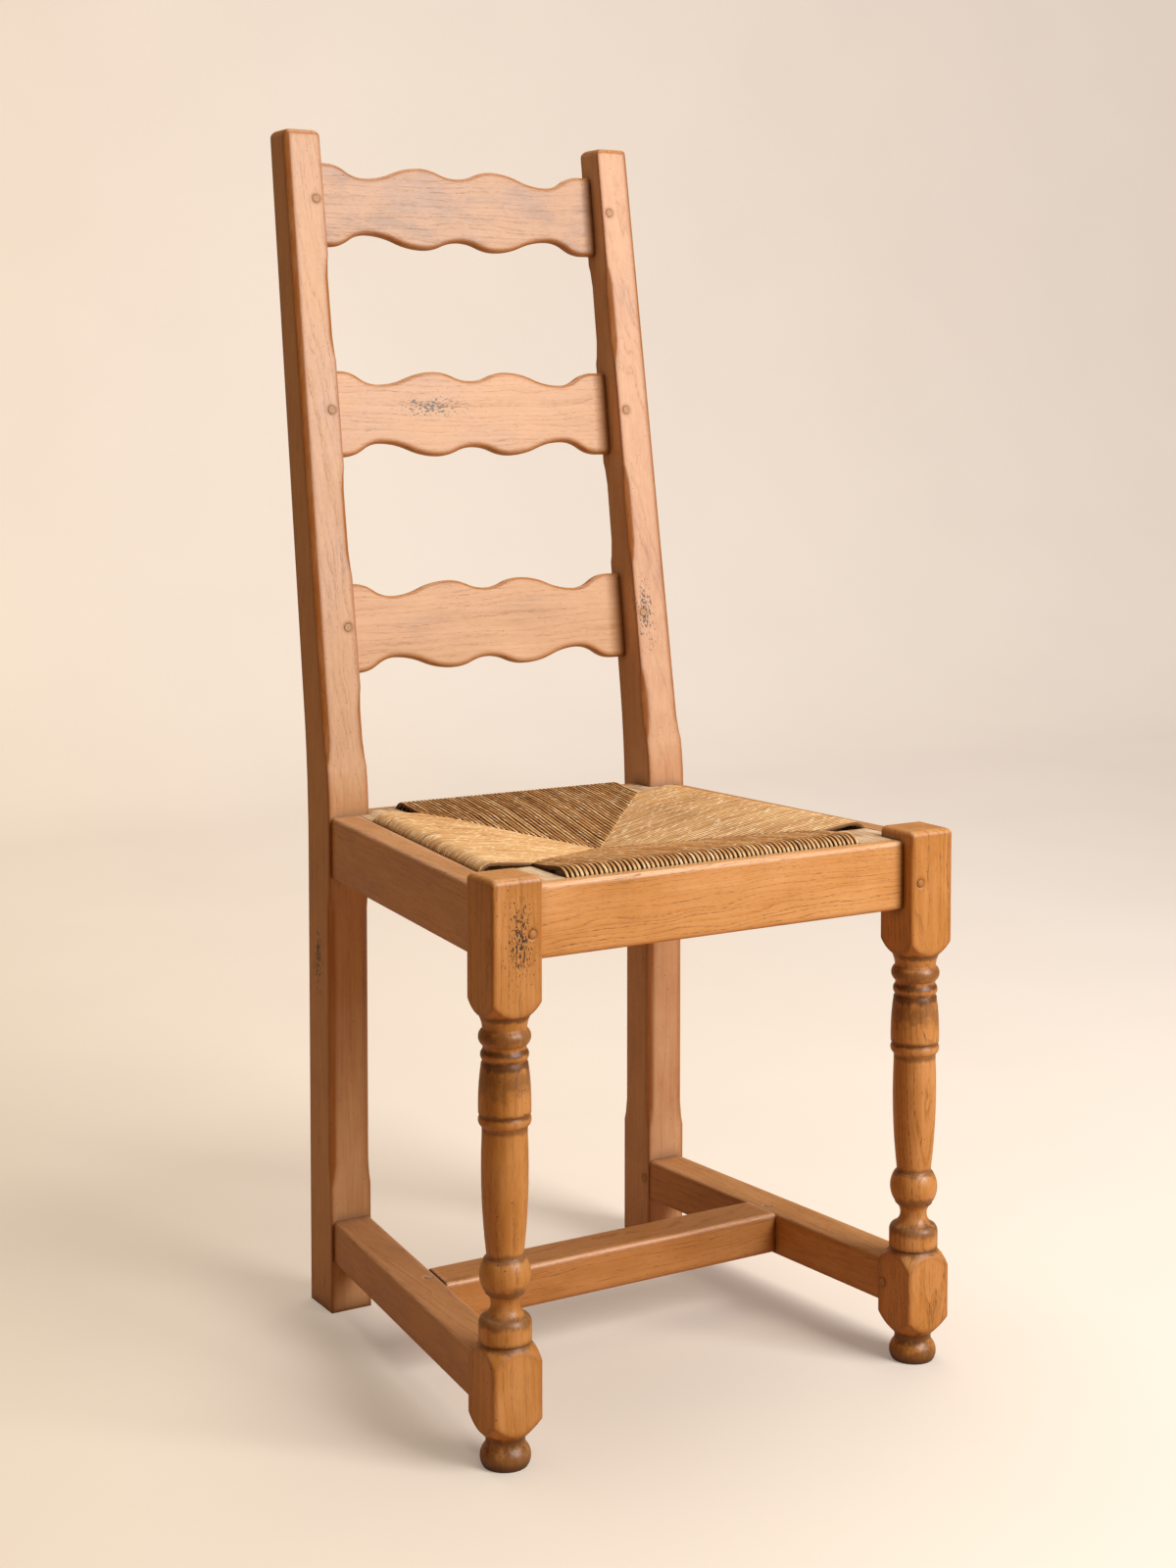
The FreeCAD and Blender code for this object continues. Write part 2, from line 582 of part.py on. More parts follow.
def stretcher_inner(y):
    return cells("(" + side_face(y) + " - {side_stretcher_width})")


def stretcher_middle(y):
    return cells("(" + side_face(y) + " - {side_stretcher_width} / 2)")


def end_rail_tenon(face, sign):
    """Y stretch of the front (1) or back (-1) rail's tenon, in the middle of its lip."""
    centre = cells("(" + face + " + " + str(sign) + " * {rail_lip} / 2)")
    return (
        cells("(" + centre + " - {rail_tenon_thickness} / 2)"),
        cells("(" + centre + " + {rail_tenon_thickness} / 2)"),
    )


def mortise_end(start, length, sign):
    """Bottom of a mortise that starts at a shoulder, a little deeper than its tenon."""
    return cells("(" + start + " + " + str(sign) + " * (" + length + " + {tenon_clearance}))")


def front_leg(name, side):
    """A turned front leg: a square blank, turned between its two square blocks."""
    x_place = LEG_X if side > 0 else f"(0 - {LEG_X})"
    leg = Piece(name, x_place, LEG_CENTRE)
    x_low, x_high = span(side, LEG_INNER, LEG_OUTER)
    leg.pad("XY", [box_loop(x_low, x_high, LEG_FRONT, LEG_BACK)], "0", cells("{leg_height}"))
    leg.round(upright, cells("{leg_arris}"))
    top = number(cells("{leg_height}"))
    leg.round(lambda edge: near(middle(edge).z, top), cells("{leg_top_round}"))
    turn(leg, upper_turning())
    turn(leg, foot_turning())
    y_tenon = grown(*end_rail_tenon(FRONT_RAIL_FACE, 1))
    x_cut = span(side, LEG_INNER, mortise_end(LEG_INNER, cells("{front_tenon_length}"), 1))
    leg.cut("YZ", [box_loop(*y_tenon, *grown(*RAIL_TENON))], *x_cut)
    room = cells("{tenon_clearance}")
    end = mortise_end(LEG_BACK, cells("{side_tenon_length}"), -1)
    plan = side_tenon(side, rail_middle, cells("{rail_tenon_thickness}"), end, LEG_BACK, room)
    leg.cut("XY", [plan], *grown(*RAIL_TENON))
    end = mortise_end(LEG_BACK, cells("{stretcher_tenon_length}"), -1)
    plan = side_tenon(side, stretcher_middle, cells("{stretcher_tenon_thickness}"), end, LEG_BACK, room)
    leg.cut("XY", [plan], *grown(*STRETCHER_TENON))
    x_peg = span(side, RAIL_PEG_X, RAIL_PEG_X)[0]
    leg.bore("XZ", [(x_peg, cells("{rail_peg_height}"))], PEG_HOLE, LEG_FRONT, RAIL_PEG_END)
    x_bore = span(side, LEG_INNER, cells("(" + LEG_INNER + " + {leg_peg_length})"))
    leg.bore("YZ", [(LEG_PEG_Y, cells("{stretcher_peg_height}"))], PEG_HOLE, *x_bore)
    return leg


def turn(leg, waste):
    """Turn away the waste, a loop of (radius, height) steps."""
    sketch = leg.sketch("XZ", LEG_CENTRE)
    draw(sketch, waste)
    feature = leg.body.newObject("PartDesign::Groove", leg.body.Name + "_turning")
    feature.Profile = sketch
    feature.ReferenceAxis = (sketch, ["V_Axis"])
    feature.Angle = 360


def profile(*rows):
    """The steps of a turned profile from the top down, with its sizes from the sheet.

    A row is (radius, height) or (radius, height, bulge). A bulge makes the turned part fuller there,
    which is to the left of the way down, so its sign changes for draw().
    """
    steps = []
    for radius, height, *bulge in rows:
        fuller = [cells("(0 - (" + size + "))") for size in bulge]
        steps.append((cells("(" + radius + ")"), cells("(" + height + ")"), *fuller))
    return steps


WASTE_RADIUS = "({leg_side} / 2 + {turning_reach})"


def upper_turning():
    """Beads, vase, ring, long shaft, lower bead, cove and collar between the two blocks."""
    return profile(
        (WASTE_RADIUS, "{block_bottom}"),
        ("{shoulder_radius}", "{leg_height} - {shoulder_drop}", "{shoulder_bulge}"),
        ("{neck_radius}", "{leg_height} - {upper_bead_start} + {neck_lip}", "0 - {fine_hollow}"),
        ("{neck_radius}", "{leg_height} - {upper_bead_start}"),
        ("{neck_radius}", "{leg_height} - {upper_bead_end}", "{upper_bead_bulge}"),
        ("{neck_radius}", "{leg_height} - {small_bead_start}", "0 - {fine_hollow}"),
        ("{neck_radius}", "{leg_height} - {small_bead_end}", "{small_bead_bulge}"),
        ("{vase_top_radius}", "{leg_height} - {vase_start}", "0 - {fine_hollow}"),
        ("{vase_bottom_radius}", "{leg_height} - {vase_end}", "{vase_bulge}"),
        ("{ring_radius}", "{leg_height} - {ring_start}", "0 - {fine_hollow}"),
        ("{ring_radius}", "{leg_height} - {ring_end}", "{ring_bulge}"),
        ("{groove_radius}", "{leg_height} - {groove_start}", "0 - {fine_hollow}"),
        ("{groove_radius}", "{leg_height} - {groove_end}"),
        ("{shaft_bottom_radius}", "{lower_block_top} + {shaft_rise}", "{shaft_bulge}"),
        ("{lower_bead_radius}", "{lower_block_top} + {lower_bead_end}", "0 - {fine_hollow}"),
        ("{lower_bead_radius}", "{lower_block_top} + {lower_bead_start}", "{lower_bead_bulge}"),
        ("{cove_top_radius}", "{lower_block_top} + {cove_end}"),
        ("{cove_bottom_radius}", "{lower_block_top} + {cove_start}", "0 - {cove_depth}"),
        ("{collar_radius}", "{lower_block_top} + {cove_start} - {collar_drop}", "{fine_hollow}"),
        ("{collar_radius}", "{lower_block_top} + {collar_rise} + {collar_lip}"),
        ("{collar_radius} - {collar_lip}", "{lower_block_top} + {collar_rise}"),
        ("{collar_radius}", "{lower_block_top} + {collar_rise} - 2 * {collar_lip}"),
        (WASTE_RADIUS, "{lower_block_top}", "{collar_bulge}"),
    )


def foot_turning():
    """Shoulder, neck and round foot under the lower block."""
    return profile(
        (WASTE_RADIUS, "{lower_block_bottom}"),
        ("{foot_neck_radius}", "{foot_top} + {foot_neck_length}", "{foot_shoulder_bulge}"),
        ("{foot_neck_radius}", "{foot_top}", "0 - {foot_neck_hollow}"),
        ("{foot_radius}", "0", "{foot_bulge}"),
        (WASTE_RADIUS, "0"),
    )


def tilted_box(y_centre, z_centre, low, high, half_height):
    """A rectangle in the YZ plane that leans with the slats.

    low and high are measured square to the slat from the centre, half_height along the slat.
    """
    corners = []
    for across, along in ((low, -1), (high, -1), (high, 1), (low, 1)):
        y = f"({y_centre} + ({across} + {along} * {half_height} * {BACK_LEAN}) / {LEAN_LENGTH})"
        z = f"({z_centre} + ({along} * {half_height} - {across} * {BACK_LEAN}) / {LEAN_LENGTH})"
        corners.append((y, z))
    return corners


def slat_size(name, what):
    return cells("{" + name + "_" + what + "}")


SLAT_TENON_LOW = cells("(({slat_thickness} - {slat_tenon_thickness}) / 2)")
SLAT_TENON_HIGH = cells("(({slat_thickness} + {slat_tenon_thickness}) / 2)")


def back_post(name, side):
    """A back post, straight below the seat and leaning above it."""
    x_place = POST_INNER if side > 0 else f"(0 - {POST_INNER})"
    post = Piece(name, x_place, POST_FRONT)
    x_low, x_high = span(side, POST_INNER, POST_OUTER)
    top = cells("{post_height}")
    profile = [
        (POST_FRONT, "0"),
        (POST_BACK, "0"),
        (POST_BACK, cells("{back_bend_height}")),
        (post_back(top), top),
        (post_front(top), top),
        (POST_FRONT, cells("{front_bend_height}")),
    ]
    post.pad("YZ", [profile], x_low, x_high)
    beyond = f"({POST_OUTER} + {OVERCUT})"
    taper = [
        (POST_OUTER, cells("{rail_top}")),
        (beyond, cells("{rail_top}")),
        (beyond, top),
        (cells("(" + POST_INNER + " + {post_top_width})"), top),
    ]
    post.cut("XZ", [mirrored(side, taper)], POST_FRONT, post_back(cells("({post_height} + 10)")))
    front_bend = number(cells("{front_bend_height}"))
    back_bend = number(cells("{back_bend_height}"))
    height = number(top)
    post.round(lambda edge: sideways(edge) and near(middle(edge).z, front_bend), cells("{front_bend_radius}"))
    post.round(lambda edge: sideways(edge) and near(middle(edge).z, back_bend), cells("{back_bend_radius}"))
    post.round(lambda edge: near(middle(edge).z, height), cells("{post_top_round}"))
    chamfer_post(post, side)
    mortise_post(post, side)
    return post


def corner_cut(post, side_x, side_y, edges):
    """Cut stopped chamfers along one corner of a post, in a sketch that looks along its diagonal.

    side_x and side_y say which way the wood lies from the corner. Each entry of edges is a list of
    (x, y, z, depth) along the corner.
    """
    turn_by = FreeCAD.Rotation(FreeCAD.Vector(0, 1, 0), 45 * side_x * side_y)
    sketch = post.sketch("XZ", POST_FRONT, turn_by)

    def across(x, y, depth):
        corner = f"(({x} - {post.base[0]}) + {side_x * side_y} * ({y} - {post.base[1]})) / sqrt(2)"
        return f"({corner} + {side_x} * ({depth}))"

    for stations in edges:
        loop = [(across(x, y, depth), z) for x, y, z, depth in stations]
        for x, y, z, _ in (stations[-1], stations[0]):
            loop.append((across(x, y, CHAMFER_AIR), z))
        draw(sketch, loop)
    feature = post.body.newObject("PartDesign::Pocket", post.body.Name + "_chamfer")
    feature.Profile = sketch
    feature.Type = "ThroughAll"
    feature.Midplane = True
    return feature


CHAMFER_AIR = "0 - 6"
CHAMFER_START = "0 - 0.4"
CHAMFER_KNEE = "0.35"


def stopped(x_at, y_at, low, high, open_top=False):
    """Stations of one stopped chamfer from height low to height high, easing in at its ends."""
    run = cells("min({chamfer_run}; (" + high + " - " + low + ") / 3)")
    deep = cells("{chamfer_depth}")
    half_deep = cells("({chamfer_depth} / 2)")
    levels = [
        (low, CHAMFER_START),
        (f"({low} + {run} * {CHAMFER_KNEE})", half_deep),
        (f"({low} + {run})", deep),
    ]
    if open_top:
        levels.append((high, deep))
    else:
        levels += [
            (f"({high} - {run})", deep),
            (f"({high} - {run} * {CHAMFER_KNEE})", half_deep),
            (high, CHAMFER_START),
        ]
    return [(x_at(z), y_at(z), z, depth) for z, depth in levels]


def chamfer_post(post, side):
    """Chamfers that stop short of the slats, rails and stretchers."""

    def inner_x(z):
        return span(side, POST_INNER, POST_INNER)[0]

    def outer_x(z):
        taper = cells("({post_width} - {post_top_width})")
        rise = cells("(" + z + " - {rail_top}) / ({post_height} - {rail_top})")
        return span(side, f"({POST_OUTER} - {taper} * {rise})", f"({POST_OUTER} - {taper} * {rise})")[0]

    def straight_outer(z):
        return span(side, POST_OUTER, POST_OUTER)[0]

    def edge_of(name, which):
        half = cells("{" + name + "_height} / 2 / " + LEAN_LENGTH)
        return cells("({" + name + "_place} " + which + " " + half + " " + which + " {chamfer_stop})")

    spans = [
        (edge_of("middle_slat", "+"), edge_of("top_slat", "-")),
        (edge_of("lower_slat", "+"), edge_of("middle_slat", "-")),
    ]
    seat_span = (
        cells("({front_bend_height} + {chamfer_run})"),
        edge_of("lower_slat", "-"),
    )
    leg_span = (
        cells("({stretcher_top} + {stretcher_stop})"),
        cells("({rail_bottom} - {chamfer_stop})"),
    )
    low_front = stopped(inner_x, lambda z: POST_FRONT, *leg_span)
    low_back = stopped(inner_x, lambda z: POST_BACK, *leg_span)
    low_outer = stopped(straight_outer, lambda z: POST_FRONT, *leg_span)
    inner_front = [stopped(inner_x, post_front, *pair) for pair in spans + [seat_span]]
    inner_back = [stopped(inner_x, post_back, *pair) for pair in spans]
    outer_top = cells("({post_height} + 5)")
    outer = stopped(outer_x, post_front, seat_span[0], outer_top, open_top=True)
    corner_cut(post, side, 1, inner_front + [low_front])
    corner_cut(post, side, -1, inner_back + [low_back])
    corner_cut(post, -side, 1, [outer, low_outer])


def mortise_post(post, side):
    """Mortises for the slats, rails and stretcher, and the holes for their pegs."""
    room = cells("{tenon_clearance}")
    loops = []
    for name in SLATS:
        place = slat_size(name, "place")
        half = cells("(" + slat_size(name, "height") + " / 2 - {slat_tenon_inset} + {tenon_clearance})")
        low = f"({SLAT_TENON_LOW} - {room})"
        high = f"({SLAT_TENON_HIGH} + {room})"
        loops.append(tilted_box(slat_front(place), place, low, high, half))
    x_cut = span(side, POST_INNER, mortise_end(POST_INNER, cells("{slat_tenon_length}"), 1))
    post.cut("YZ", loops, *x_cut)
    y_tenon = grown(*end_rail_tenon(BACK_RAIL_FACE, -1))
    x_cut = span(side, POST_INNER, mortise_end(POST_INNER, cells("{back_tenon_length}"), 1))
    post.cut("YZ", [box_loop(*y_tenon, *grown(*RAIL_TENON))], *x_cut)
    end = mortise_end(POST_FRONT, cells("{side_tenon_length}"), 1)
    plan = side_tenon(side, rail_middle, cells("{rail_tenon_thickness}"), POST_FRONT, end, room)
    post.cut("XY", [plan], *grown(*RAIL_TENON))
    end = mortise_end(POST_FRONT, cells("{stretcher_tenon_length}"), 1)
    plan = side_tenon(side, stretcher_middle, cells("{stretcher_tenon_thickness}"), POST_FRONT, end, room)
    post.cut("XY", [plan], *grown(*STRETCHER_TENON))
    x_bore = span(side, POST_INNER, cells("(" + POST_INNER + " + {post_peg_length})"))
    post.bore("YZ", [(POST_PEG_Y, cells("{stretcher_peg_height}"))], PEG_HOLE, *x_bore)
    for name in SLATS:
        slat_peg_hole(post, side, name)


def slat_peg_start(name):
    """Front end of a slat peg, measured square to the slat from its front face."""
    place = slat_size(name, "place")
    ahead = f"({post_front(place)} - {slat_front(place)})"
    return cells("(" + ahead + " / " + LEAN_LENGTH + " - {peg_proud})")


SLAT_PEG_X = cells("(" + POST_INNER + " + {slat_peg_place})")
SLAT_PEG_END = cells("({slat_thickness} - 1)")


def slat_peg_hole(post, side, name):
    """A blind hole from the post's front face through the slat's tenon, square to the slat."""
    place = slat_size(name, "place")
    tilt = FreeCAD.Rotation(FreeCAD.Vector(-1, 0, 0), math.degrees(math.atan(number(BACK_LEAN))))
    sketch = post.sketch("XZ", slat_front(place), tilt)
    sketch.setExpression("AttachmentOffset.Rotation.Angle", f"atan({BACK_LEAN})")
    sketch.setExpression("AttachmentOffset.Base.y", place)
    x_peg = span(side, SLAT_PEG_X, SLAT_PEG_X)[0]
    circle(sketch, (f"({x_peg} - ({post.base[0]}))", "0"), PEG_HOLE)
    feature = post.body.newObject("PartDesign::Pocket", post.body.Name + "_peg_hole")
    feature.Profile = sketch
    feature.setExpression("Length", SLAT_PEG_END)
    front = post.body.newObject("PartDesign::Pocket", post.body.Name + "_peg_hole")
    front.Profile = sketch
    front.Reversed = True
    front.setExpression("Length", cells("({post_depth})"))
    return feature


def slat(name):
    """A slat with wavy edges, leaning with the posts, tenoned into both of them."""
    place = slat_size(name, "place")
    board = Piece(name, "0", slat_front(place), place, tilted=True)
    half = slat_size(name, "height") + " / 2"
    end = cells("({post_gap} / 2)")
    flat = cells("({post_gap} / 2 - {slat_flat_end})")
    dip = cells("{slat_dip_place}")
    crest = cells("{slat_crest_place}")
    low = cells("(" + half + " - {slat_dip})")
    dent = cells("(" + half + " - {slat_middle_dip})")
    quarter = [
        (end, f"({half})"),
        (flat, f"({half})"),
        (dip, low),
        (crest, f"({half})"),
        ("0", dent),
    ]
    outline = []
    for sign_x, sign_z in ((1, 1), (-1, 1), (-1, -1), (1, -1)):
        places = [(f"({sign_x} * {x})", f"({sign_z} * {z})") for x, z in quarter]
        inwards = sign_x * sign_z > 0
        if not inwards:
            places.reverse()
        outline.append((places[0][0], places[0][1]))
        for before, after in zip(places, places[1:]):
            straight = {before[0], after[0]} == {f"({sign_x} * {end})", f"({sign_x} * {flat})"}
            if straight:
                outline.append(after)
                continue
            outline += wave(before, after)
    outline = without_repeats(outline)
    board.pad("XZ", [outline], "0", cells("{slat_thickness}"))
    edge_length = number(cells("{slat_thickness}"))
    ends = number(end)

    def wavy(edge):
        place_of = middle(edge)
        flat_face = near(place_of.y, 0) or near(place_of.y, edge_length)
        return flat_face and abs(place_of.x) < ends - 0.1

    board.round(wavy, cells("{slat_round}"))
    tenon_half = cells("(" + half + " - {slat_tenon_inset})")
    tenon = box_loop(SLAT_TENON_LOW, SLAT_TENON_HIGH, f"(0 - {tenon_half})", f"({tenon_half})")
    for side in (-1, 1):
        x_low, x_high = span(side, end, cells("(" + end + " + {slat_tenon_length})"))
        board.pad("YZ", [tenon], x_low, x_high)
    holes = [(span(side, SLAT_PEG_X, SLAT_PEG_X)[0], "0") for side in (-1, 1)]
    board.bore("XZ", holes, PEG_HOLE, "0", cells("{slat_thickness}"))
    return board


def wave(before, after):
    """Two arcs that leave one crest or dip level and arrive level at the next."""
    along = f"({after[0]} - {before[0]})"
    across = f"({after[1]} - {before[1]})"
    radius = f"(({along}^2 + {across}^2) / (4 * abs({across})))"
    half_way = (f"(({before[0]} + {after[0]}) / 2)", f"(({before[1]} + {after[1]}) / 2)")
    ahead = number(after[0]) - number(before[0])
    rise = number(after[1]) - number(before[1])
    side = -1 if ahead * rise > 0 else 1
    return [(half_way[0], half_way[1], radius, -side), (after[0], after[1], radius, side)]


def without_repeats(outline):
    """Drop a corner that repeats the one before it."""
    kept = []
    for step in outline:
        if kept and len(step) == 2:
            gap = math.hypot(number(step[0]) - number(kept[-1][0]), number(step[1]) - number(kept[-1][1]))
            if gap < 0.001:
                continue
        kept.append(step)
    last = kept[-1]
    if math.hypot(number(last[0]) - number(kept[0][0]), number(last[1]) - number(kept[0][1])) < 0.001:
        kept[0] = last
        kept.pop()
    return kept


def long_edges(height):
    """Chooser for the long level edges at one height."""

    def choose(edge):
        return near(edge.BoundBox.ZLength, 0) and edge.Length > LONG_EDGE and near(middle(edge).z, height)
    return choose


def end_rail(name, face, recess, inner, reach, tenon_length, sign):
    """The front or back seat rail: an upright lip with a ledge for the seat behind it."""
    rail = Piece(name, "0", face)
    bottom = cells("({rail_bottom} - {end_rail_drop})")
    top = cells("{rail_top}")
    ledge = cells("{ledge_height}")
    section = [(face, bottom), (inner, bottom), (inner, ledge), (recess, ledge), (recess, top), (face, top)]
    rail.pad("YZ", [section], f"(0 - {reach})", reach)
    high = number(top)
    low = number(bottom)

    def outer_top(edge):
        return sideways(edge) and near(middle(edge).z, high) and near(middle(edge).y, 0)

    rail.round(outer_top, cells("{rail_round}"))
    rail.round(lambda edge: sideways(edge) and near(middle(edge).z, low), cells("{rail_arris}"))
    tenon = box_loop(*end_rail_tenon(face, sign), *RAIL_TENON)
    for side in (-1, 1):
        rail.pad("YZ", [tenon], *span(side, reach, f"({reach} + {tenon_length})"))
    return rail


def front_rail():
    rail = end_rail(
        "front_seat_rail", FRONT_RAIL_FACE, FRONT_RECESS, FRONT_RAIL_INNER, LEG_INNER,
        cells("{front_tenon_length}"), 1,
    )
    holes = [(span(side, RAIL_PEG_X, RAIL_PEG_X)[0], cells("{rail_peg_height}")) for side in (-1, 1)]
    rail.bore("XZ", holes, PEG_HOLE, FRONT_RAIL_FACE, FRONT_RAIL_INNER)
    return rail


def side_rail(name, side):
    """A side seat rail, slanting in towards the back."""
    rail = Piece(name)
    bottom = cells("{rail_bottom}")
    top = cells("{rail_top}")
    lip = [
        (side_face(LEG_BACK), LEG_BACK),
        (side_face(POST_FRONT), POST_FRONT),
        (side_recess(POST_FRONT), POST_FRONT),
        (side_recess(LEG_BACK), LEG_BACK),
    ]
    ledge = [
        (side_face(LEG_BACK), LEG_BACK),
        (side_face(POST_FRONT), POST_FRONT),
        (cells("(" + side_recess(POST_FRONT) + " - {side_ledge})"), POST_FRONT),
        (cells("(" + side_recess(LEG_BACK) + " - {side_ledge})"), LEG_BACK),
    ]
    rail.pad("XY", [mirrored(side, ledge)], bottom, cells("{ledge_height}"))
    rail.pad("XY", [mirrored(side, lip)], bottom, top)
    centre = number(f"({side_recess('0')} + {side_face('0')}) / 2")
    high = number(top)
    low = number(bottom)

    top_edges = long_edges(high)
    rail.round(lambda edge: top_edges(edge) and abs(middle(edge).x) > centre, cells("{rail_round}"))
    rail.round(long_edges(low), cells("{rail_arris}"))
    for start, end in side_tenon_ends(cells("{side_tenon_length}")):
        plan = side_tenon(side, rail_middle, cells("{rail_tenon_thickness}"), start, end)
        rail.pad("XY", [plan], *RAIL_TENON)
    return rail


def side_tenon_ends(length):
    """Y stretches of the tenons at the two ends of a side rail or stretcher."""
    return (f"({LEG_BACK} - {length})", LEG_BACK), (POST_FRONT, f"({POST_FRONT} + {length})")


def side_stretcher(name, side):
    """A low side stretcher, slanting like the rail over it."""
    bar = Piece(name)
    plan = [
        (side_face(LEG_BACK), LEG_BACK),
        (side_face(POST_FRONT), POST_FRONT),
        (stretcher_inner(POST_FRONT), POST_FRONT),
        (stretcher_inner(LEG_BACK), LEG_BACK),
    ]
    bottom = cells("{side_stretcher_bottom}")
    top = cells("{stretcher_top}")
    bar.pad("XY", [mirrored(side, plan)], bottom, top)
    high = number(top)
    low = number(bottom)
    bar.round(long_edges(high), cells("{stretcher_round}"))
    bar.round(long_edges(low), cells("{stretcher_arris}"))
    for start, end in side_tenon_ends(cells("{stretcher_tenon_length}")):
        tenon = side_tenon(side, stretcher_middle, cells("{stretcher_tenon_thickness}"), start, end)
        bar.pad("XY", [tenon], *STRETCHER_TENON)
    room = cells("{tenon_clearance}")
    mortise = cross_tenon(cells("({cross_tenon_length} + {tenon_clearance})"), room)
    bar.cut("XY", [mirrored(side, mortise)], *grown(*CROSS_TENON))
    peg_y = [LEG_PEG_Y, POST_PEG_Y]
    through = span(side, POST_INNER, LEG_OUTER)
    bar.bore("YZ", [(y, cells("{stretcher_peg_height}")) for y in peg_y], PEG_HOLE, *through)
    x_peg = span(side, CROSS_PEG_X, CROSS_PEG_X)[0]
    bar.bore("XY", [(x_peg, CROSS_Y)], PEG_HOLE, CROSS_PEG_END, cells("({stretcher_top} + " + OVERCUT + ")"))
    return bar


CROSS_PEG_X = cells("(" + stretcher_inner(CROSS_Y) + " + {cross_peg_place})")
CROSS_PEG_END = cells("({stretcher_top} - {cross_peg_length})")


def cross_tenon(length, room):
    """Plan of the cross stretcher's tenon on the right side of the chair, widened by room."""
    low = cells("(" + CROSS_Y + " - {cross_tenon_width} / 2 - " + room + ")")
    high = cells("(" + CROSS_Y + " + {cross_tenon_width} / 2 + " + room + ")")
    return [
        (stretcher_inner(low), low),
        (f"({stretcher_inner(low)} + {length})", low),
        (f"({stretcher_inner(high)} + {length})", high),
        (stretcher_inner(high), high),
    ]


def cross_stretcher():
    """The stretcher between the two side stretchers."""
    bar = Piece("cross_stretcher")
    low = cells("(" + CROSS_Y + " - {cross_stretcher_width} / 2)")
    high = cells("(" + CROSS_Y + " + {cross_stretcher_width} / 2)")
    plan = [
        (f"(0 - {stretcher_inner(low)})", low),
        (stretcher_inner(low), low),
        (stretcher_inner(high), high),
        (f"(0 - {stretcher_inner(high)})", high),
    ]
    bottom = cells("{cross_stretcher_bottom}")
    top = cells("{stretcher_top}")
    bar.pad("XY", [plan], bottom, top)
    upper = number(top)
    lower = number(bottom)
    bar.round(long_edges(upper), cells("{stretcher_round}"))
    bar.round(long_edges(lower), cells("{stretcher_arris}"))
    for side in (-1, 1):
        bar.pad("XY", [mirrored(side, cross_tenon(cells("{cross_tenon_length}"), "0"))], *CROSS_TENON)
    holes = [(span(side, CROSS_PEG_X, CROSS_PEG_X)[0], CROSS_Y) for side in (-1, 1)]
    bar.bore("XY", holes, PEG_HOLE, "0", cells("{stretcher_top}"))
    return bar


def seat_corner(place_x, end_y, side, sign):
    """A corner block's plan on the front (-1) or back (1) of one side, notched round its leg or post."""
    if sign < 0:
        seat_y, wood_x, wood_y = SEAT_FRONT, LEG_INNER, LEG_BACK
    else:
        seat_y, wood_x, wood_y = SEAT_BACK, POST_INNER, POST_FRONT
    notch_x = cells("(" + wood_x + " - {seat_clearance})")
    notch_y = cells("(" + wood_y + " - " + str(sign) + " * {seat_clearance})")
    loop = [
        (place_x, seat_y),
        (notch_x, seat_y),
        (notch_x, notch_y),
        (seat_side(notch_y), notch_y),
        (seat_side(end_y), end_y),
        (place_x, end_y),
    ]
    return mirrored(side, loop)


FRONT_BLOCK_X = cells("{front_block_place}")
BACK_BLOCK_X = cells("{back_block_place}")
BAR_CENTRE = cells("(({bar_bottom} + {bar_top}) / 2)")
BAR_TENON = (
    cells("(" + BAR_CENTRE + " - {bar_tenon_thickness} / 2)"),
    cells("(" + BAR_CENTRE + " + {bar_tenon_thickness} / 2)"),
)
FRONT_BAR_Y = (
    cells("(" + SEAT_FRONT + " + {rush_wrap} + {rush_clearance})"),
    cells("(" + SEAT_FRONT + " + {rush_wrap} + {rush_clearance} + {bar_width})"),
)
BACK_BAR_Y = (
    cells("(" + SEAT_BACK + " - {rush_wrap} - {rush_clearance} - {bar_width})"),
    cells("(" + SEAT_BACK + " - {rush_wrap} - {rush_clearance})"),
)


def bar_outer(y):
    return cells("(" + seat_side(y) + " - {rush_wrap} - {rush_clearance})")


def bar_inner(y):
    return cells("(" + bar_outer(y) + " - {bar_width})")


def bar_middle(y):
    return cells("(" + bar_outer(y) + " - {bar_width} / 2)")


def middle_stretch(stretch, width, room="0"):
    """A narrower stretch in the middle of another one, for a tenon."""
    centre = f"(({stretch[0]} + {stretch[1]}) / 2)"
    half = f"({width} / 2 + {room})"
    return f"({centre} - {half})", f"({centre} + {half})"


def end_bar(name, stretch, block_x, tenon_length):
    """The front or back bar of the seat frame, which the rush is wound round."""
    bar = Piece(name)
    section = box_loop(*stretch, cells("{bar_bottom}"), cells("{bar_top}"))
    bar.pad("YZ", [section], f"(0 - {block_x})", block_x)
    tenon = box_loop(*middle_stretch(stretch, cells("{bar_tenon_width}")), *BAR_TENON)
    for side in (-1, 1):
        bar.pad("YZ", [tenon], *span(side, block_x, f"({block_x} + {tenon_length})"))
    return bar


def side_bar(name, side):
    """A side bar of the seat frame."""
    bar = Piece(name)
    plan = [
        (bar_outer(FRONT_BLOCK_END), FRONT_BLOCK_END),
        (bar_outer(BACK_BLOCK_END), BACK_BLOCK_END),
        (bar_inner(BACK_BLOCK_END), BACK_BLOCK_END),
        (bar_inner(FRONT_BLOCK_END), FRONT_BLOCK_END),
    ]
    bar.pad("XY", [mirrored(side, plan)], cells("{bar_bottom}"), cells("{bar_top}"))
    for start, end in side_bar_tenons("0"):
        bar.pad("XY", [side_tenon(side, bar_middle, cells("{bar_tenon_width}"), start, end)], *BAR_TENON)
    return bar


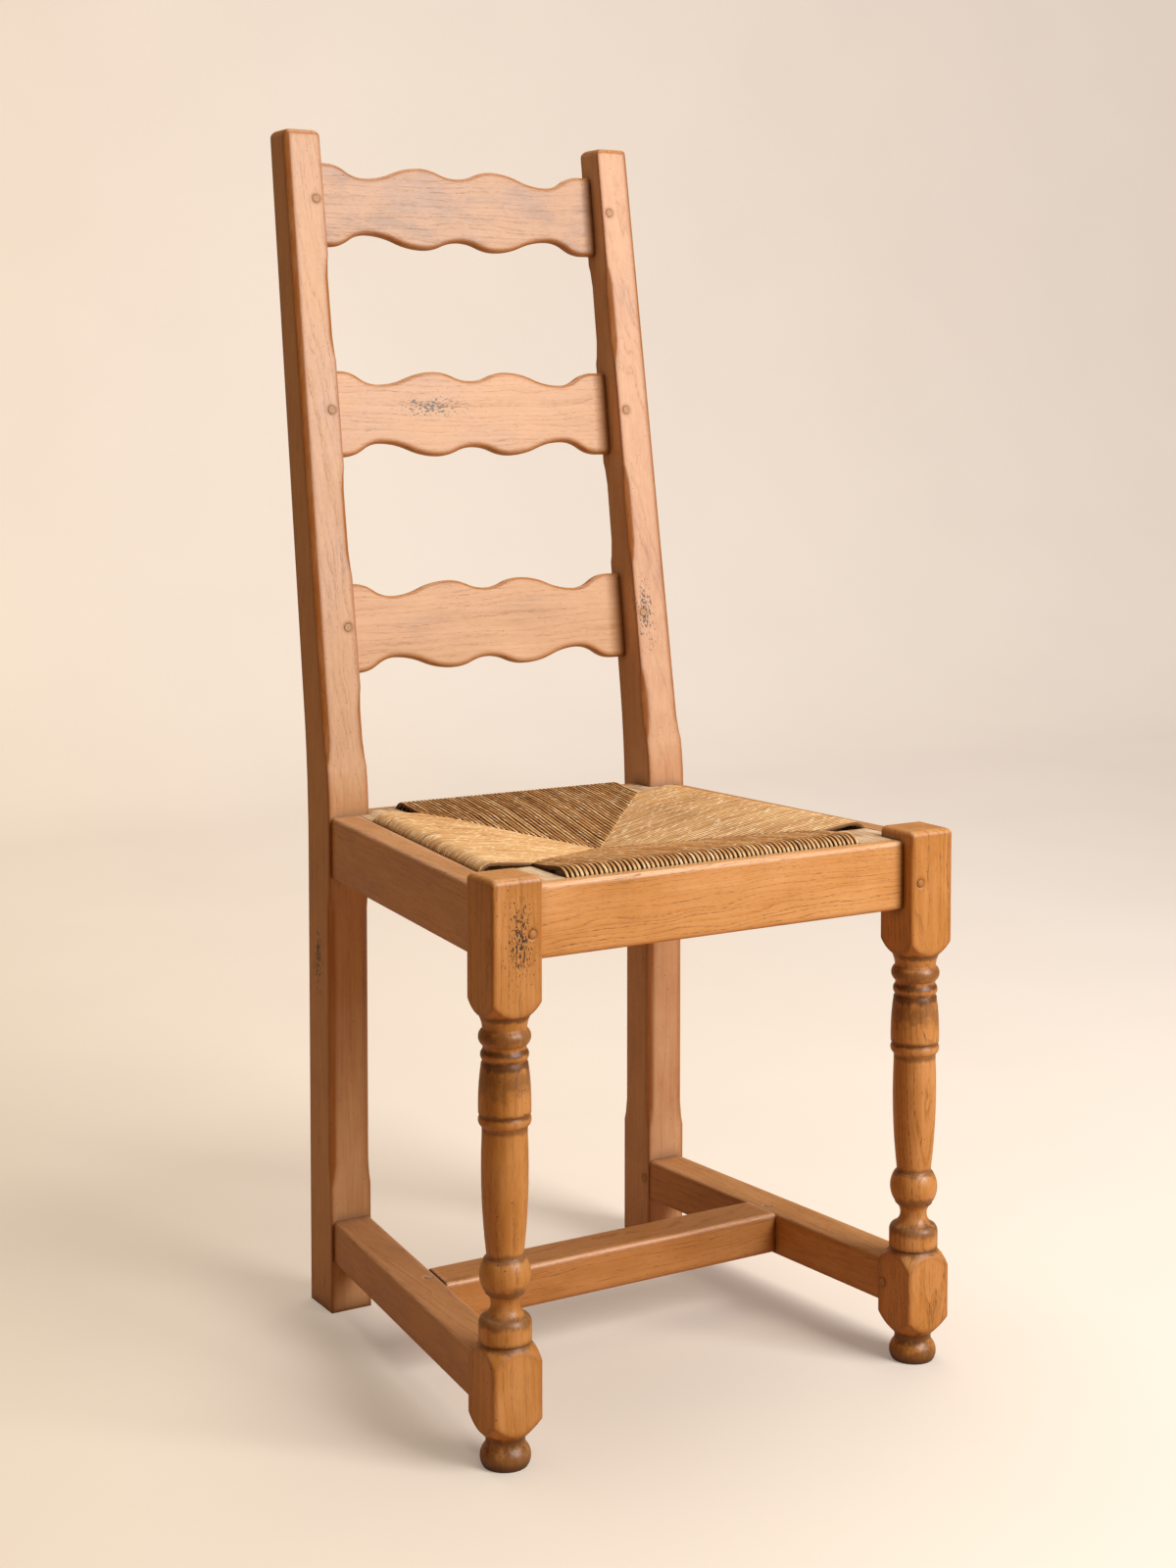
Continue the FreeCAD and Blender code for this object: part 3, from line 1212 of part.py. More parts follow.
def side_bar_tenons(room):
    """Y stretches of the side bars' tenons, deeper by room."""
    length = cells("({side_bar_tenon} + " + room + ")")
    front = (f"({FRONT_BLOCK_END} - {length})", FRONT_BLOCK_END)
    back = (BACK_BLOCK_END, f"({BACK_BLOCK_END} + {length})")
    return front, back


def corner_block(name, side, sign):
    """A corner block of the seat frame, mortised for the two bars that meet in it."""
    block = Piece(name)
    front = sign < 0
    place_x = FRONT_BLOCK_X if front else BACK_BLOCK_X
    end_y = FRONT_BLOCK_END if front else BACK_BLOCK_END
    plan = seat_corner(place_x, end_y, side, sign)
    block.pad("XY", [plan], cells("{ledge_height}"), cells("{rail_top}"))
    top = number(cells("{rail_top}"))
    block.chamfer(lambda edge: near(middle(edge).z, top), cells("{block_chamfer}"))
    room = cells("{tenon_clearance}")
    stretch = FRONT_BAR_Y if front else BACK_BAR_Y
    length = cells("{front_bar_tenon}" if front else "{back_bar_tenon}")
    mortise = box_loop(*middle_stretch(stretch, cells("{bar_tenon_width}"), room), *grown(*BAR_TENON))
    block.cut("YZ", [mortise], *span(side, place_x, mortise_end(place_x, length, 1)))
    start, end = side_bar_tenons(room)[0 if front else 1]
    plan = side_tenon(side, bar_middle, cells("{bar_tenon_width}"), start, end, room)
    block.cut("XY", [plan], *grown(*BAR_TENON))
    if not front:
        nail_hole(block, side)
    return block


NAIL_X = cells("(" + POST_INNER + " - {nail_x})")
NAIL_Y = cells("(" + POST_FRONT + " + {nail_y})")
NAIL_END = cells("({rail_top} - {nail_length})")
NAIL_HEAD = cells("({rail_top} - {nail_head_thickness})")


def nail_hole(piece, side):
    """Holes for a nail's shank and its sunk head."""
    x = span(side, NAIL_X, NAIL_X)[0]
    top = cells("({rail_top} + " + OVERCUT + ")")
    piece.bore("XY", [(x, NAIL_Y)], cells("({nail_radius} + {peg_clearance})"), NAIL_END, top)
    piece.bore("XY", [(x, NAIL_Y)], cells("({nail_head_radius} + {peg_clearance})"), NAIL_HEAD, top)


def back_bar():
    bar = end_bar("seat_frame_back_bar", BACK_BAR_Y, BACK_BLOCK_X, cells("{back_bar_tenon}"))
    holes = [(span(side, NAIL_X, NAIL_X)[0], NAIL_Y) for side in (-1, 1)]
    bar.bore("XY", holes, cells("({nail_radius} + {peg_clearance})"), NAIL_END, cells("{rail_top}"))
    return bar


def pillow_section(outer, centre, sign):
    """Section of a rush gusset from its outer face to the middle of the weave.

    sign says which way the middle lies. The top rounds over the bar and then falls to the middle.
    """
    def inwards(distance):
        return f"({outer} + {sign} * {distance})"

    curve = f"({sign} * " + cells("{rush_crown_bulge}") + ")"
    slope = f"({sign} * " + cells("{rush_slope_bulge}") + ")"
    loop = [
        (outer, cells("{rush_bottom}")),
        (outer, cells("{rush_shoulder}")),
        (inwards(cells("{rush_crown_place}")), cells("{rush_crown}"), f"(0 - {curve})"),
        (inwards(cells("{rush_slope_place}")), cells("{rush_slope_height}"), f"(0 - {slope})"),
        (centre, cells("{rush_middle}")),
        (centre, cells("{rush_bottom}")),
    ]
    return loop


WEAVE_LEVELS = cells("({rush_bottom} - 1)"), cells("({rush_crown} + 5)")


def end_gusset(name, outer, corner_x, corner_y, bar, sign):
    """The front or back gusset of the rush, a triangle in plan whose point is the middle of the weave."""
    gusset = Piece(name)
    reach = cells("(" + corner_x + " - {rush_clearance})")
    gusset.pad("YZ", [pillow_section(outer, WEAVE_Y, sign)], f"(0 - {reach})", reach)
    for side in (-1, 1):
        waste = [
            (f"({corner_x} + {OVERCUT})", corner_y),
            (corner_x, corner_y),
            ("0", WEAVE_Y),
            (f"({corner_x} + {OVERCUT})", WEAVE_Y),
        ]
        gusset.cut("XY", [mirrored(side, waste)], *WEAVE_LEVELS)
    hollow = box_loop(
        cells("(" + bar[0] + " - {rush_clearance})"),
        cells("(" + bar[1] + " + {rush_clearance})"),
        cells("({bar_bottom} - {rush_clearance})"),
        cells("({bar_top} + {rush_clearance})"),
    )
    gusset.cut("YZ", [hollow], f"(0 - {corner_x})", corner_x)
    room = cells("{rush_clearance}")
    gusset.cut("XY", [end_stuffing(bar, corner_x, corner_y, sign, room)], *stuffing_levels(room))
    return gusset


def stuffing_levels(room):
    return cells("({stuffing_bottom} - " + room + ")"), cells("({stuffing_top} + " + room + ")")


def diagonal_x(corner_x, corner_y, y):
    """X of the diagonal between two gussets."""
    return f"({corner_x} * ({y} - {WEAVE_Y}) / ({corner_y} - {WEAVE_Y}))"


def end_stuffing(bar, corner_x, corner_y, sign, room):
    """Plan of the stuffing in the front or back gusset, grown by room."""
    near_y = bar[1] if sign > 0 else bar[0]
    start = cells("(" + near_y + " + " + str(sign) + " * ({rush_clearance} - " + room + "))")
    end = cells("(" + near_y + " + " + str(sign) + " * ({stuffing_depth} + " + room + "))")
    wide = cells("(" + corner_x + " - {stuffing_margin} * 2 + " + room + ")")
    narrow = cells("(" + diagonal_x(corner_x, corner_y, end) + " - {stuffing_margin} + " + room + ")")
    half = [(wide, start), (wide, corner_y), (narrow, end)]
    return half + [(f"(0 - {x})", y) for x, y in reversed(half)]


def side_gusset(name, side):
    """A side gusset of the rush, whose outer face follows the slanting rail."""
    gusset = Piece(name)
    sketches = []
    start = cells("(" + FRONT_BLOCK_END + " + {rush_clearance})")
    finish = cells("(" + BACK_BLOCK_END + " - {rush_clearance})")
    for y in (start, finish):
        sketch = gusset.sketch("XZ", y)
        outer = span(side, seat_side(y), seat_side(y))[0]
        draw(sketch, pillow_section(outer, "0", -side))
        sketches.append(sketch)
    loft = gusset.body.newObject("PartDesign::AdditiveLoft", gusset.body.Name + "_loft")
    loft.Profile = sketches[0]
    loft.Sections = [sketches[1]]
    loft.Ruled = True
    corners = ((FRONT_BLOCK_X, FRONT_BLOCK_END, "-"), (BACK_BLOCK_X, BACK_BLOCK_END, "+"))
    for corner_x, corner_y, outwards in corners:
        edge_y = f"({corner_y} {outwards} {OVERCUT})"
        beyond = f"(0 - {OVERCUT})"
        waste = [(corner_x, edge_y), (corner_x, corner_y), ("0", WEAVE_Y)]
        waste += [(beyond, WEAVE_Y), (beyond, edge_y)]
        gusset.cut("XY", [mirrored(side, waste)], *WEAVE_LEVELS)
    room = cells("{rush_clearance}")
    tunnel = [
        (cells("(" + bar_outer(y) + " + {rush_clearance})"), y) for y in (FRONT_BLOCK_END, BACK_BLOCK_END)
    ] + [
        (cells("(" + bar_inner(y) + " - {rush_clearance})"), y) for y in (BACK_BLOCK_END, FRONT_BLOCK_END)
    ]
    bars = cells("({bar_bottom} - {rush_clearance})"), cells("({bar_top} + {rush_clearance})")
    gusset.cut("XY", [mirrored(side, tunnel)], *bars)
    gusset.cut("XY", [side_stuffing(side, room)], *stuffing_levels(room))
    return gusset


def side_stuffing(side, room):
    """Plan of the stuffing in a side gusset, grown by room."""
    margin = cells("({stuffing_margin} * 2 - " + room + ")")
    front_y = f"({FRONT_BLOCK_END} + {margin})"
    back_y = f"({BACK_BLOCK_END} - {margin})"
    start = cells("({rush_clearance} - " + room + ")")
    depth = cells("({stuffing_depth} + " + room + ")")
    narrow_front = cells("(" + front_y + " + {stuffing_taper})")
    narrow_back = cells("(" + back_y + " - {stuffing_taper})")
    loop = [
        (f"({bar_inner(front_y)} - {start})", front_y),
        (f"({bar_inner(back_y)} - {start})", back_y),
        (f"({bar_inner(narrow_back)} - {depth})", narrow_back),
        (f"({bar_inner(narrow_front)} - {depth})", narrow_front),
    ]
    return mirrored(side, loop)


def cylinder(name, radius, length, place, turn):
    """A round peg or pin, its axis turned from +Z."""
    peg = doc.addObject("Part::Cylinder", name)
    peg.setExpression("Radius", radius)
    peg.setExpression("Height", length)
    peg.Placement.Rotation = turn
    for axis, expression in zip("xyz", place):
        peg.setExpression(f"Placement.Base.{axis}", expression)
    return peg


def group(name, pieces):
    """Equal pieces that share one node as separate solids."""
    compound = doc.addObject("Part::Compound", name)
    compound.Label = name
    compound.Links = pieces
    nodes.append(compound)
    return compound


def make_slat_pegs():
    pegs = []
    radius = cells("{peg_radius}")
    for name in SLATS:
        place = slat_size(name, "place")
        start = slat_peg_start(name)
        for side in (-1, 1):
            where = (
                span(side, SLAT_PEG_X, SLAT_PEG_X)[0],
                f"({slat_front(place)} + {start} / {LEAN_LENGTH})",
                f"({place} - {start} * {BACK_LEAN} / {LEAN_LENGTH})",
            )
            lean = math.degrees(math.atan(number(BACK_LEAN)))
            turn_by = FreeCAD.Rotation(FreeCAD.Vector(-1, 0, 0), 90 + lean)
            peg = cylinder("slat_peg", radius, f"({SLAT_PEG_END} - {start})", where, turn_by)
            peg.setExpression("Placement.Rotation.Angle", f"90deg + atan({BACK_LEAN})")
            pegs.append(peg)
    return group("slat_pegs", pegs)


def make_rail_pegs():
    along_y = FreeCAD.Rotation(FreeCAD.Vector(-1, 0, 0), 90)
    start = cells("(" + LEG_FRONT + " - {peg_proud})")
    pegs = []
    for side in (-1, 1):
        where = (span(side, RAIL_PEG_X, RAIL_PEG_X)[0], start, cells("{rail_peg_height}"))
        length = cells("({rail_peg_length} - " + PEG_TIP_ROOM + " + {peg_proud})")
        pegs.append(cylinder("front_rail_peg", cells("{peg_radius}"), length, where, along_y))
    return group("front_rail_pegs", pegs)


def make_stretcher_pegs():
    pegs = []
    holes = (
        (LEG_INNER, LEG_PEG_Y, cells("{leg_peg_length}")),
        (POST_INNER, POST_PEG_Y, cells("{post_peg_length}")),
    )
    for inner, y, length in holes:
        for side in (-1, 1):
            outwards = FreeCAD.Rotation(FreeCAD.Vector(0, side, 0), 90)
            start = cells("(" + inner + " - {peg_proud})")
            where = (span(side, start, start)[0], y, cells("{stretcher_peg_height}"))
            size = cells("(" + length + " - " + PEG_TIP_ROOM + " + {peg_proud})")
            pegs.append(cylinder("side_stretcher_peg", cells("{peg_radius}"), size, where, outwards))
    return group("side_stretcher_pegs", pegs)


def make_cross_pegs():
    pegs = []
    for side in (-1, 1):
        start = f"({CROSS_PEG_END} + {PEG_TIP_ROOM})"
        where = (span(side, CROSS_PEG_X, CROSS_PEG_X)[0], CROSS_Y, start)
        size = cells("({cross_peg_length} - " + PEG_TIP_ROOM + " + {peg_proud})")
        pegs.append(cylinder("cross_stretcher_peg", cells("{peg_radius}"), size, where, FreeCAD.Rotation()))
    return group("cross_stretcher_pegs", pegs)


def make_nails():
    nails = []
    for side in (-1, 1):
        x = span(side, NAIL_X, NAIL_X)[0]
        shank = cylinder(
            "nail_shank", cells("{nail_radius}"), cells("({nail_length} - " + PEG_TIP_ROOM + ")"),
            (x, NAIL_Y, f"({NAIL_END} + {PEG_TIP_ROOM})"), FreeCAD.Rotation(),
        )
        head = cylinder(
            "nail_head", cells("{nail_head_radius}"), cells("{nail_head_thickness}"),
            (x, NAIL_Y, NAIL_HEAD), FreeCAD.Rotation(),
        )
        nail = doc.addObject("Part::Fuse", "nail")
        nail.Base = shank
        nail.Tool = head
        nails.append(nail)
    return group("corner_block_nails", nails)


def make_stuffing():
    pads = []
    plans = [
        end_stuffing(FRONT_BAR_Y, FRONT_BLOCK_X, FRONT_BLOCK_END, 1, "0"),
        end_stuffing(BACK_BAR_Y, BACK_BLOCK_X, BACK_BLOCK_END, -1, "0"),
        side_stuffing(-1, "0"),
        side_stuffing(1, "0"),
    ]
    for plan in plans:
        pad = Piece("stuffing_pad")
        nodes.remove(pad.body)
        pad.pad("XY", [plan], *stuffing_levels("0"))
        pads.append(pad.body)
    return group("rush_stuffing", pads)


def make_weave():
    """The rush is one long cord wound round all four bars, so its four gussets are one piece."""
    front = end_gusset("front_gusset", SEAT_FRONT, FRONT_BLOCK_X, FRONT_BLOCK_END, FRONT_BAR_Y, 1)
    back = end_gusset("back_gusset", SEAT_BACK, BACK_BLOCK_X, BACK_BLOCK_END, BACK_BAR_Y, -1)
    left = side_gusset("left_gusset", -1)
    right = side_gusset("right_gusset", 1)
    gussets = [front.body, back.body, left.body, right.body]
    for gusset in gussets:
        nodes.remove(gusset)
    weave = doc.addObject("Part::MultiFuse", "rush_weave")
    weave.Label = "rush_weave"
    weave.Shapes = gussets
    nodes.append(weave)
    return weave


front_leg("left_front_leg", -1)
front_leg("right_front_leg", 1)
back_post("left_back_post", -1)
back_post("right_back_post", 1)
for slat_name in SLATS:
    slat(slat_name)
front_rail()
end_rail(
    "back_seat_rail", BACK_RAIL_FACE, BACK_RECESS, BACK_RAIL_INNER, POST_INNER,
    cells("{back_tenon_length}"), -1,
)
side_rail("left_seat_rail", -1)
side_rail("right_seat_rail", 1)
side_stretcher("left_side_stretcher", -1)
side_stretcher("right_side_stretcher", 1)
cross_stretcher()
make_slat_pegs()
make_rail_pegs()
make_stretcher_pegs()
make_cross_pegs()
end_bar("seat_frame_front_bar", FRONT_BAR_Y, FRONT_BLOCK_X, cells("{front_bar_tenon}"))
back_bar()
side_bar("seat_frame_left_bar", -1)
side_bar("seat_frame_right_bar", 1)
corner_block("front_left_corner_block", -1, -1)
corner_block("front_right_corner_block", 1, -1)
corner_block("back_left_corner_block", -1, 1)
corner_block("back_right_corner_block", 1, 1)
make_weave()
make_stuffing()
make_nails()

doc.recompute()


def check_document():
    """Stop if a feature failed, a cut removed nothing or a piece isn't a sound solid."""
    for item in doc.Objects:
        if "Invalid" in item.State or "Error" in item.State:
            raise RuntimeError("failed: " + item.Name + " " + str(item.State))
        if item.TypeId in ("PartDesign::Pocket", "PartDesign::Groove"):
            before = item.BaseFeature.Shape.Volume
            if item.Shape.Volume > before - 0.01:
                raise RuntimeError("cuts nothing: " + item.Name)
    for node in nodes:
        if node.Shape.isNull() or not node.Shape.isValid() or not node.Shape.Solids:
            raise RuntimeError("bad shape: " + node.Label)


check_document()
os.makedirs("parts", exist_ok=True)
for node in nodes:
    node.Shape.exportStep(f"parts/{node.Label}.step")
    print(node.Label, len(node.Shape.Solids), "solids", round(node.Shape.Volume / 1000, 1), "cm3")
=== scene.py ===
# %% [markdown]
# # A ladderback chair with a rush seat
#
# The chair is old oak: two tall back posts, three wavy slats, two front legs with
# turning between square blocks, and a loose seat frame wound with rush cord.
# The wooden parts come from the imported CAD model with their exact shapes.
# This lesson gives them their finish, winds the rush seat cord by cord,
# and sets up the floor, the lamps and the camera.

import math
import random

import bmesh
import bpy
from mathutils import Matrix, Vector, noise


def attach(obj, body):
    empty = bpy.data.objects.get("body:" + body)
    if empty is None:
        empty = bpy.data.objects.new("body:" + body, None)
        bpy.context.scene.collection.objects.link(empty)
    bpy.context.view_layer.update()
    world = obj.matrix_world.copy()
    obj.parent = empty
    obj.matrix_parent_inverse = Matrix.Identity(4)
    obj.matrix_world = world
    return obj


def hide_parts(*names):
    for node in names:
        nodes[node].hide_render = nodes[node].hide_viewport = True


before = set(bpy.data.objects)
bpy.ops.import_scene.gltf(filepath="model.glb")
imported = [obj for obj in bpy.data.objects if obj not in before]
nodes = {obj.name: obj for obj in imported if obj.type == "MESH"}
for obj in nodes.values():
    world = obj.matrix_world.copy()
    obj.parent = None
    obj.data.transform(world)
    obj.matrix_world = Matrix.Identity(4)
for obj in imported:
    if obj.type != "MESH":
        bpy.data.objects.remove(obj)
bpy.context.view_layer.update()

# %% [markdown]
# ## Small helpers
#
# Two things are needed again and again: a colour, and a node. Colours are written as
# sRGB hex, as a paint chart gives them, and Blender's shaders count in linear light,
# so one function turns one into the other. The other helper adds one shader node,
# fills in its settings and joins its inputs to what feeds them. Two short ones start a
# material with its main shader, and put a material on an object.

# %% Colours and nodes
MM = 0.001
# Settings that many nodes share: a soft step, a blend of colours, a * b, a * b + c, the larger.
SMOOTH = {"interpolation_type": "SMOOTHSTEP"}
BLEND = {"data_type": "RGBA"}
TIMES, TIMES_PLUS = {"operation": "MULTIPLY"}, {"operation": "MULTIPLY_ADD"}
LARGER = {"operation": "MAXIMUM"}


def paint(code):
    """An sRGB hex colour as the linear RGBA that Blender's shaders use."""
    parts = [int(code[i:i + 2], 16) / 255 for i in (1, 3, 5)]
    return tuple(c / 12.92 if c <= 0.04045 else ((c + 0.055) / 1.055) ** 2.4 for c in parts) + (1.0,)


def add(tree, kind, settings=None, links=None):
    """Adds one node. settings are its properties ("stops" are a colour ramp's places and colours);
    links are its inputs: each is fed by a socket, by a node's first output, or gets a plain value."""
    node = tree.nodes.new("ShaderNode" + kind)
    for name, value in (settings or {}).items():
        if name == "stops":
            while len(node.color_ramp.elements) < len(value):
                node.color_ramp.elements.new(1.0)
            for element, (place, colour) in zip(node.color_ramp.elements, value):
                element.position, element.color = place, colour
        else:
            setattr(node, name, value)
    for name, value in (links or {}).items():
        if isinstance(value, bpy.types.Node):
            value = next(output for output in value.outputs if output.enabled)
        if isinstance(value, bpy.types.NodeSocket):
            tree.links.new(value, node.inputs[name])
        else:
            node.inputs[name].default_value = value
    return node


def start_material(name):
    """A new material with an empty node tree, its output and its Principled shader."""
    material = bpy.data.materials.new(name)
    material.use_nodes = True
    tree = material.node_tree
    tree.nodes.clear()
    shader = add(tree, "BsdfPrincipled")
    add(tree, "OutputMaterial", links={"Surface": shader.outputs["BSDF"]})
    return material, tree, shader


def dress(object_, material):
    """Gives an object that one material."""
    object_.data.materials.clear()
    object_.data.materials.append(material)


print("helpers ready")

# %% [markdown]
# ## The camera
#
# The photograph was taken from the front left, a little above the seat, with a long
# lens held level and shifted down, so that the posts stay nearly upright. The place
# and the lens come from lining up the chair's corners with the picture.

# %% Camera
camera = bpy.data.objects.new("camera", bpy.data.cameras.new("camera"))
bpy.context.scene.collection.objects.link(camera)
camera.location = (-1.10446, -1.862525, 0.84912)
camera.rotation_euler = (math.radians(86.8), 0.0, math.radians(-30.898))
camera.data.sensor_width = 36.0
camera.data.lens = 54.06
camera.data.shift_y = -0.155
camera.data.clip_start = 0.05
bpy.context.scene.camera = camera
print("camera at", tuple(round(v, 3) for v in camera.location), "lens", camera.data.lens)

# %% [markdown]
# ## The floor and backdrop
#
# A photographer's paper sweep is one sheet that runs along the floor and curves up
# behind the chair, so no line shows where floor meets wall. Here an edge is extruded
# along the floor, spun through a quarter turn and extruded up.

# %% Paper sweep
SWEEP_FRONT, SWEEP_BACK, SWEEP_RADIUS, SWEEP_TOP, SWEEP_HALF = -5.0, 2.6, 1.3, 4.5, 5.5


def make_sweep():
    mesh = bmesh.new()
    left = mesh.verts.new((-SWEEP_HALF, SWEEP_FRONT, 0.0))
    right = mesh.verts.new((SWEEP_HALF, SWEEP_FRONT, 0.0))
    edge = mesh.edges.new((left, right))

    def onward(edges, step):
        grown = bmesh.ops.extrude_edge_only(mesh, edges=edges)["geom"]
        moved = [g for g in grown if isinstance(g, bmesh.types.BMVert)]
        bmesh.ops.translate(mesh, vec=step, verts=moved)
        return [g for g in grown if isinstance(g, bmesh.types.BMEdge)
                and all(v in grown for v in g.verts)]

    row = onward([edge], Vector((0, SWEEP_BACK - SWEEP_FRONT, 0)))
    turned = bmesh.ops.spin(mesh, geom=row + [v for e in row for v in e.verts],
                            cent=(0, SWEEP_BACK, SWEEP_RADIUS), axis=(1, 0, 0),
                            angle=math.radians(90), steps=24, use_merge=False,
                            use_duplicate=False, dvec=(0, 0, 0))["geom_last"]
    onward([g for g in turned if isinstance(g, bmesh.types.BMEdge)],
           Vector((0, 0, SWEEP_TOP - SWEEP_RADIUS)))
    bmesh.ops.remove_doubles(mesh, verts=mesh.verts, dist=1e-5)
    bmesh.ops.recalc_face_normals(mesh, faces=mesh.faces)
    if mesh.faces[0].normal.z < 0:
        bmesh.ops.reverse_faces(mesh, faces=mesh.faces)
    data = bpy.data.meshes.new("paper_sweep")
    mesh.to_mesh(data)
    mesh.free()
    for face in data.polygons:
        face.use_smooth = True
    object_ = bpy.data.objects.new("paper_sweep", data)
    bpy.context.scene.collection.objects.link(object_)
    return object_


sweep = make_sweep()

paper, tree, shader = start_material("cream_backdrop_paper")
place = add(tree, "TexCoord").outputs["Object"]
axes = add(tree, "SeparateXYZ", links={"Vector": place})
# The paper is warmer and darker towards the left, where less light reaches it.
across = add(tree, "MapRange", links={"Value": axes.outputs["X"], "From Min": -2.2, "From Max": 1.6})
tint = add(tree, "ValToRGB",
           {"stops": [(0.0, paint("#cfbda2")), (0.45, paint("#dfd3c1")), (1.0, paint("#e8e2da"))]},
           {"Fac": across})
mottle = add(tree, "TexNoise", links={"Vector": place, "Scale": 3.0, "Detail": 3.0})
soft = add(tree, "MapRange", links={"Value": mottle, "To Min": 0.97, "To Max": 1.03})
# The lamps are warm, so the floor under them gets a cooler tint than the wall.
depth = add(tree, "MapRange", links={"Value": axes.outputs["Y"], "From Min": -1.0, "From Max": 3.0})
cool = add(tree, "Mix", BLEND,
           {"Factor": depth, 6: (0.95, 1.0, 1.09, 1.0), 7: (1.0, 1.0, 1.0, 1.0)})
even = add(tree, "VectorMath", TIMES, {0: tint, 1: cool})
tone = add(tree, "VectorMath", {"operation": "SCALE"}, {0: even, "Scale": soft})
# The camera sees a bright sheet; the chair is lit by a darker one, so its shaded sides stay dark.
# The sheet's mirror image in the wax counts a quarter.
sight = add(tree, "LightPath")
mirrored = add(tree, "Math", TIMES, {0: sight.outputs["Is Glossy Ray"], 1: 0.25})
seen = add(tree, "Math", LARGER, {0: sight.outputs["Is Camera Ray"], 1: mirrored})
looked_at = add(tree, "Math", LARGER, {0: seen, 1: sight.outputs["Is Transmission Ray"]})
sheet = add(tree, "Mix", BLEND, {"Factor": looked_at, 6: paint("#c69f70"), 7: tone})
tree.links.new(sheet.outputs[2], shader.inputs["Base Color"])
# Up the wall and out to the sides the lamps fade, so a glow for those rays evens the sheet.
up = add(tree, "MapRange", SMOOTH,
         {"Value": axes.outputs["Y"], "From Min": -0.6, "From Max": 3.6,
          "To Min": 0.28, "To Max": 0.64})
glow = add(tree, "Math", TIMES, {0: up, 1: looked_at})
tree.links.new(tone.outputs["Vector"], shader.inputs["Emission Color"])
tree.links.new(glow.outputs["Value"], shader.inputs["Emission Strength"])
shader.inputs["Roughness"].default_value = 0.95
shader.inputs["Specular IOR Level"].default_value = 0.2
dress(sweep, paper)
print("sweep faces:", len(sweep.data.polygons))

# %% [markdown]
# ## The lamps
#
# One tall soft box stands to the right of the camera and gives the pale sheen on the
# fronts of the posts and slats. The sides that face left see only the pale room, so
# they stay dark brown. The soft box is wide, which keeps the shadows on the floor soft.

# %% Lamps
def soft_box(name, where, target, size, power, colour):
    light = bpy.data.lights.new(name, "AREA")
    light.shape = "RECTANGLE"
    light.size, light.size_y = size
    light.energy = power
    light.color = paint(colour)[:3]
    object_ = bpy.data.objects.new(name, light)
    object_.location = where
    object_.rotation_euler = (Vector(target) - Vector(where)).to_track_quat("-Z", "Y").to_euler()
    bpy.context.scene.collection.objects.link(object_)


soft_box("key_soft_box", (1.15, -2.35, 1.95), (0.0, 0.0, 0.55), (1.5, 1.9), 99.0, "#fbf5ef")
soft_box("top_soft_box", (0.2, 0.4, 3.1), (0.0, 0.0, 0.4), (2.2, 2.2), 46.0, "#fff4e4")

world = bpy.data.worlds.new("studio_room")
bpy.context.scene.world = world
world.use_nodes = True
world.node_tree.nodes.clear()
background = add(world.node_tree, "Background", links={"Color": paint("#f4bf7e"), "Strength": 0.20})
add(world.node_tree, "OutputWorld", links={"Surface": background.outputs["Background"]})

bpy.context.scene.view_settings.view_transform = "Standard"

# %% [markdown]
# ## Old waxed oak
#
# Oak is ring-porous: each year's growth starts with a band of large open pores and
# ends in dense wood. A saw cut along the trunk meets the rings at a slant, which
# draws long arches, and it opens the pores into short dark ticks along the grain.
# Two hundred years of wax and hands leave dark stain in the corners, amber wood where
# the edges have worn, and a soft sheen on top. Painted shade deepens the corners, and
# a painted sheen pales some top edges and greys the top slat.
#
# All of this can be built from where a point lies in the piece. The Mapping node
# turns each piece so that its grain runs along Z, counted in millimetres. The
# distance from a far-off pith gives the rings, and a noise that is stretched along the
# grain gives the pores.

# %% Rings and pores
GRAIN_TURN = {"X": (0.0, math.radians(-90), 0.0), "Y": (math.radians(90), 0.0, 0.0),
              "Z": (0.0, 0.0, 0.0)}


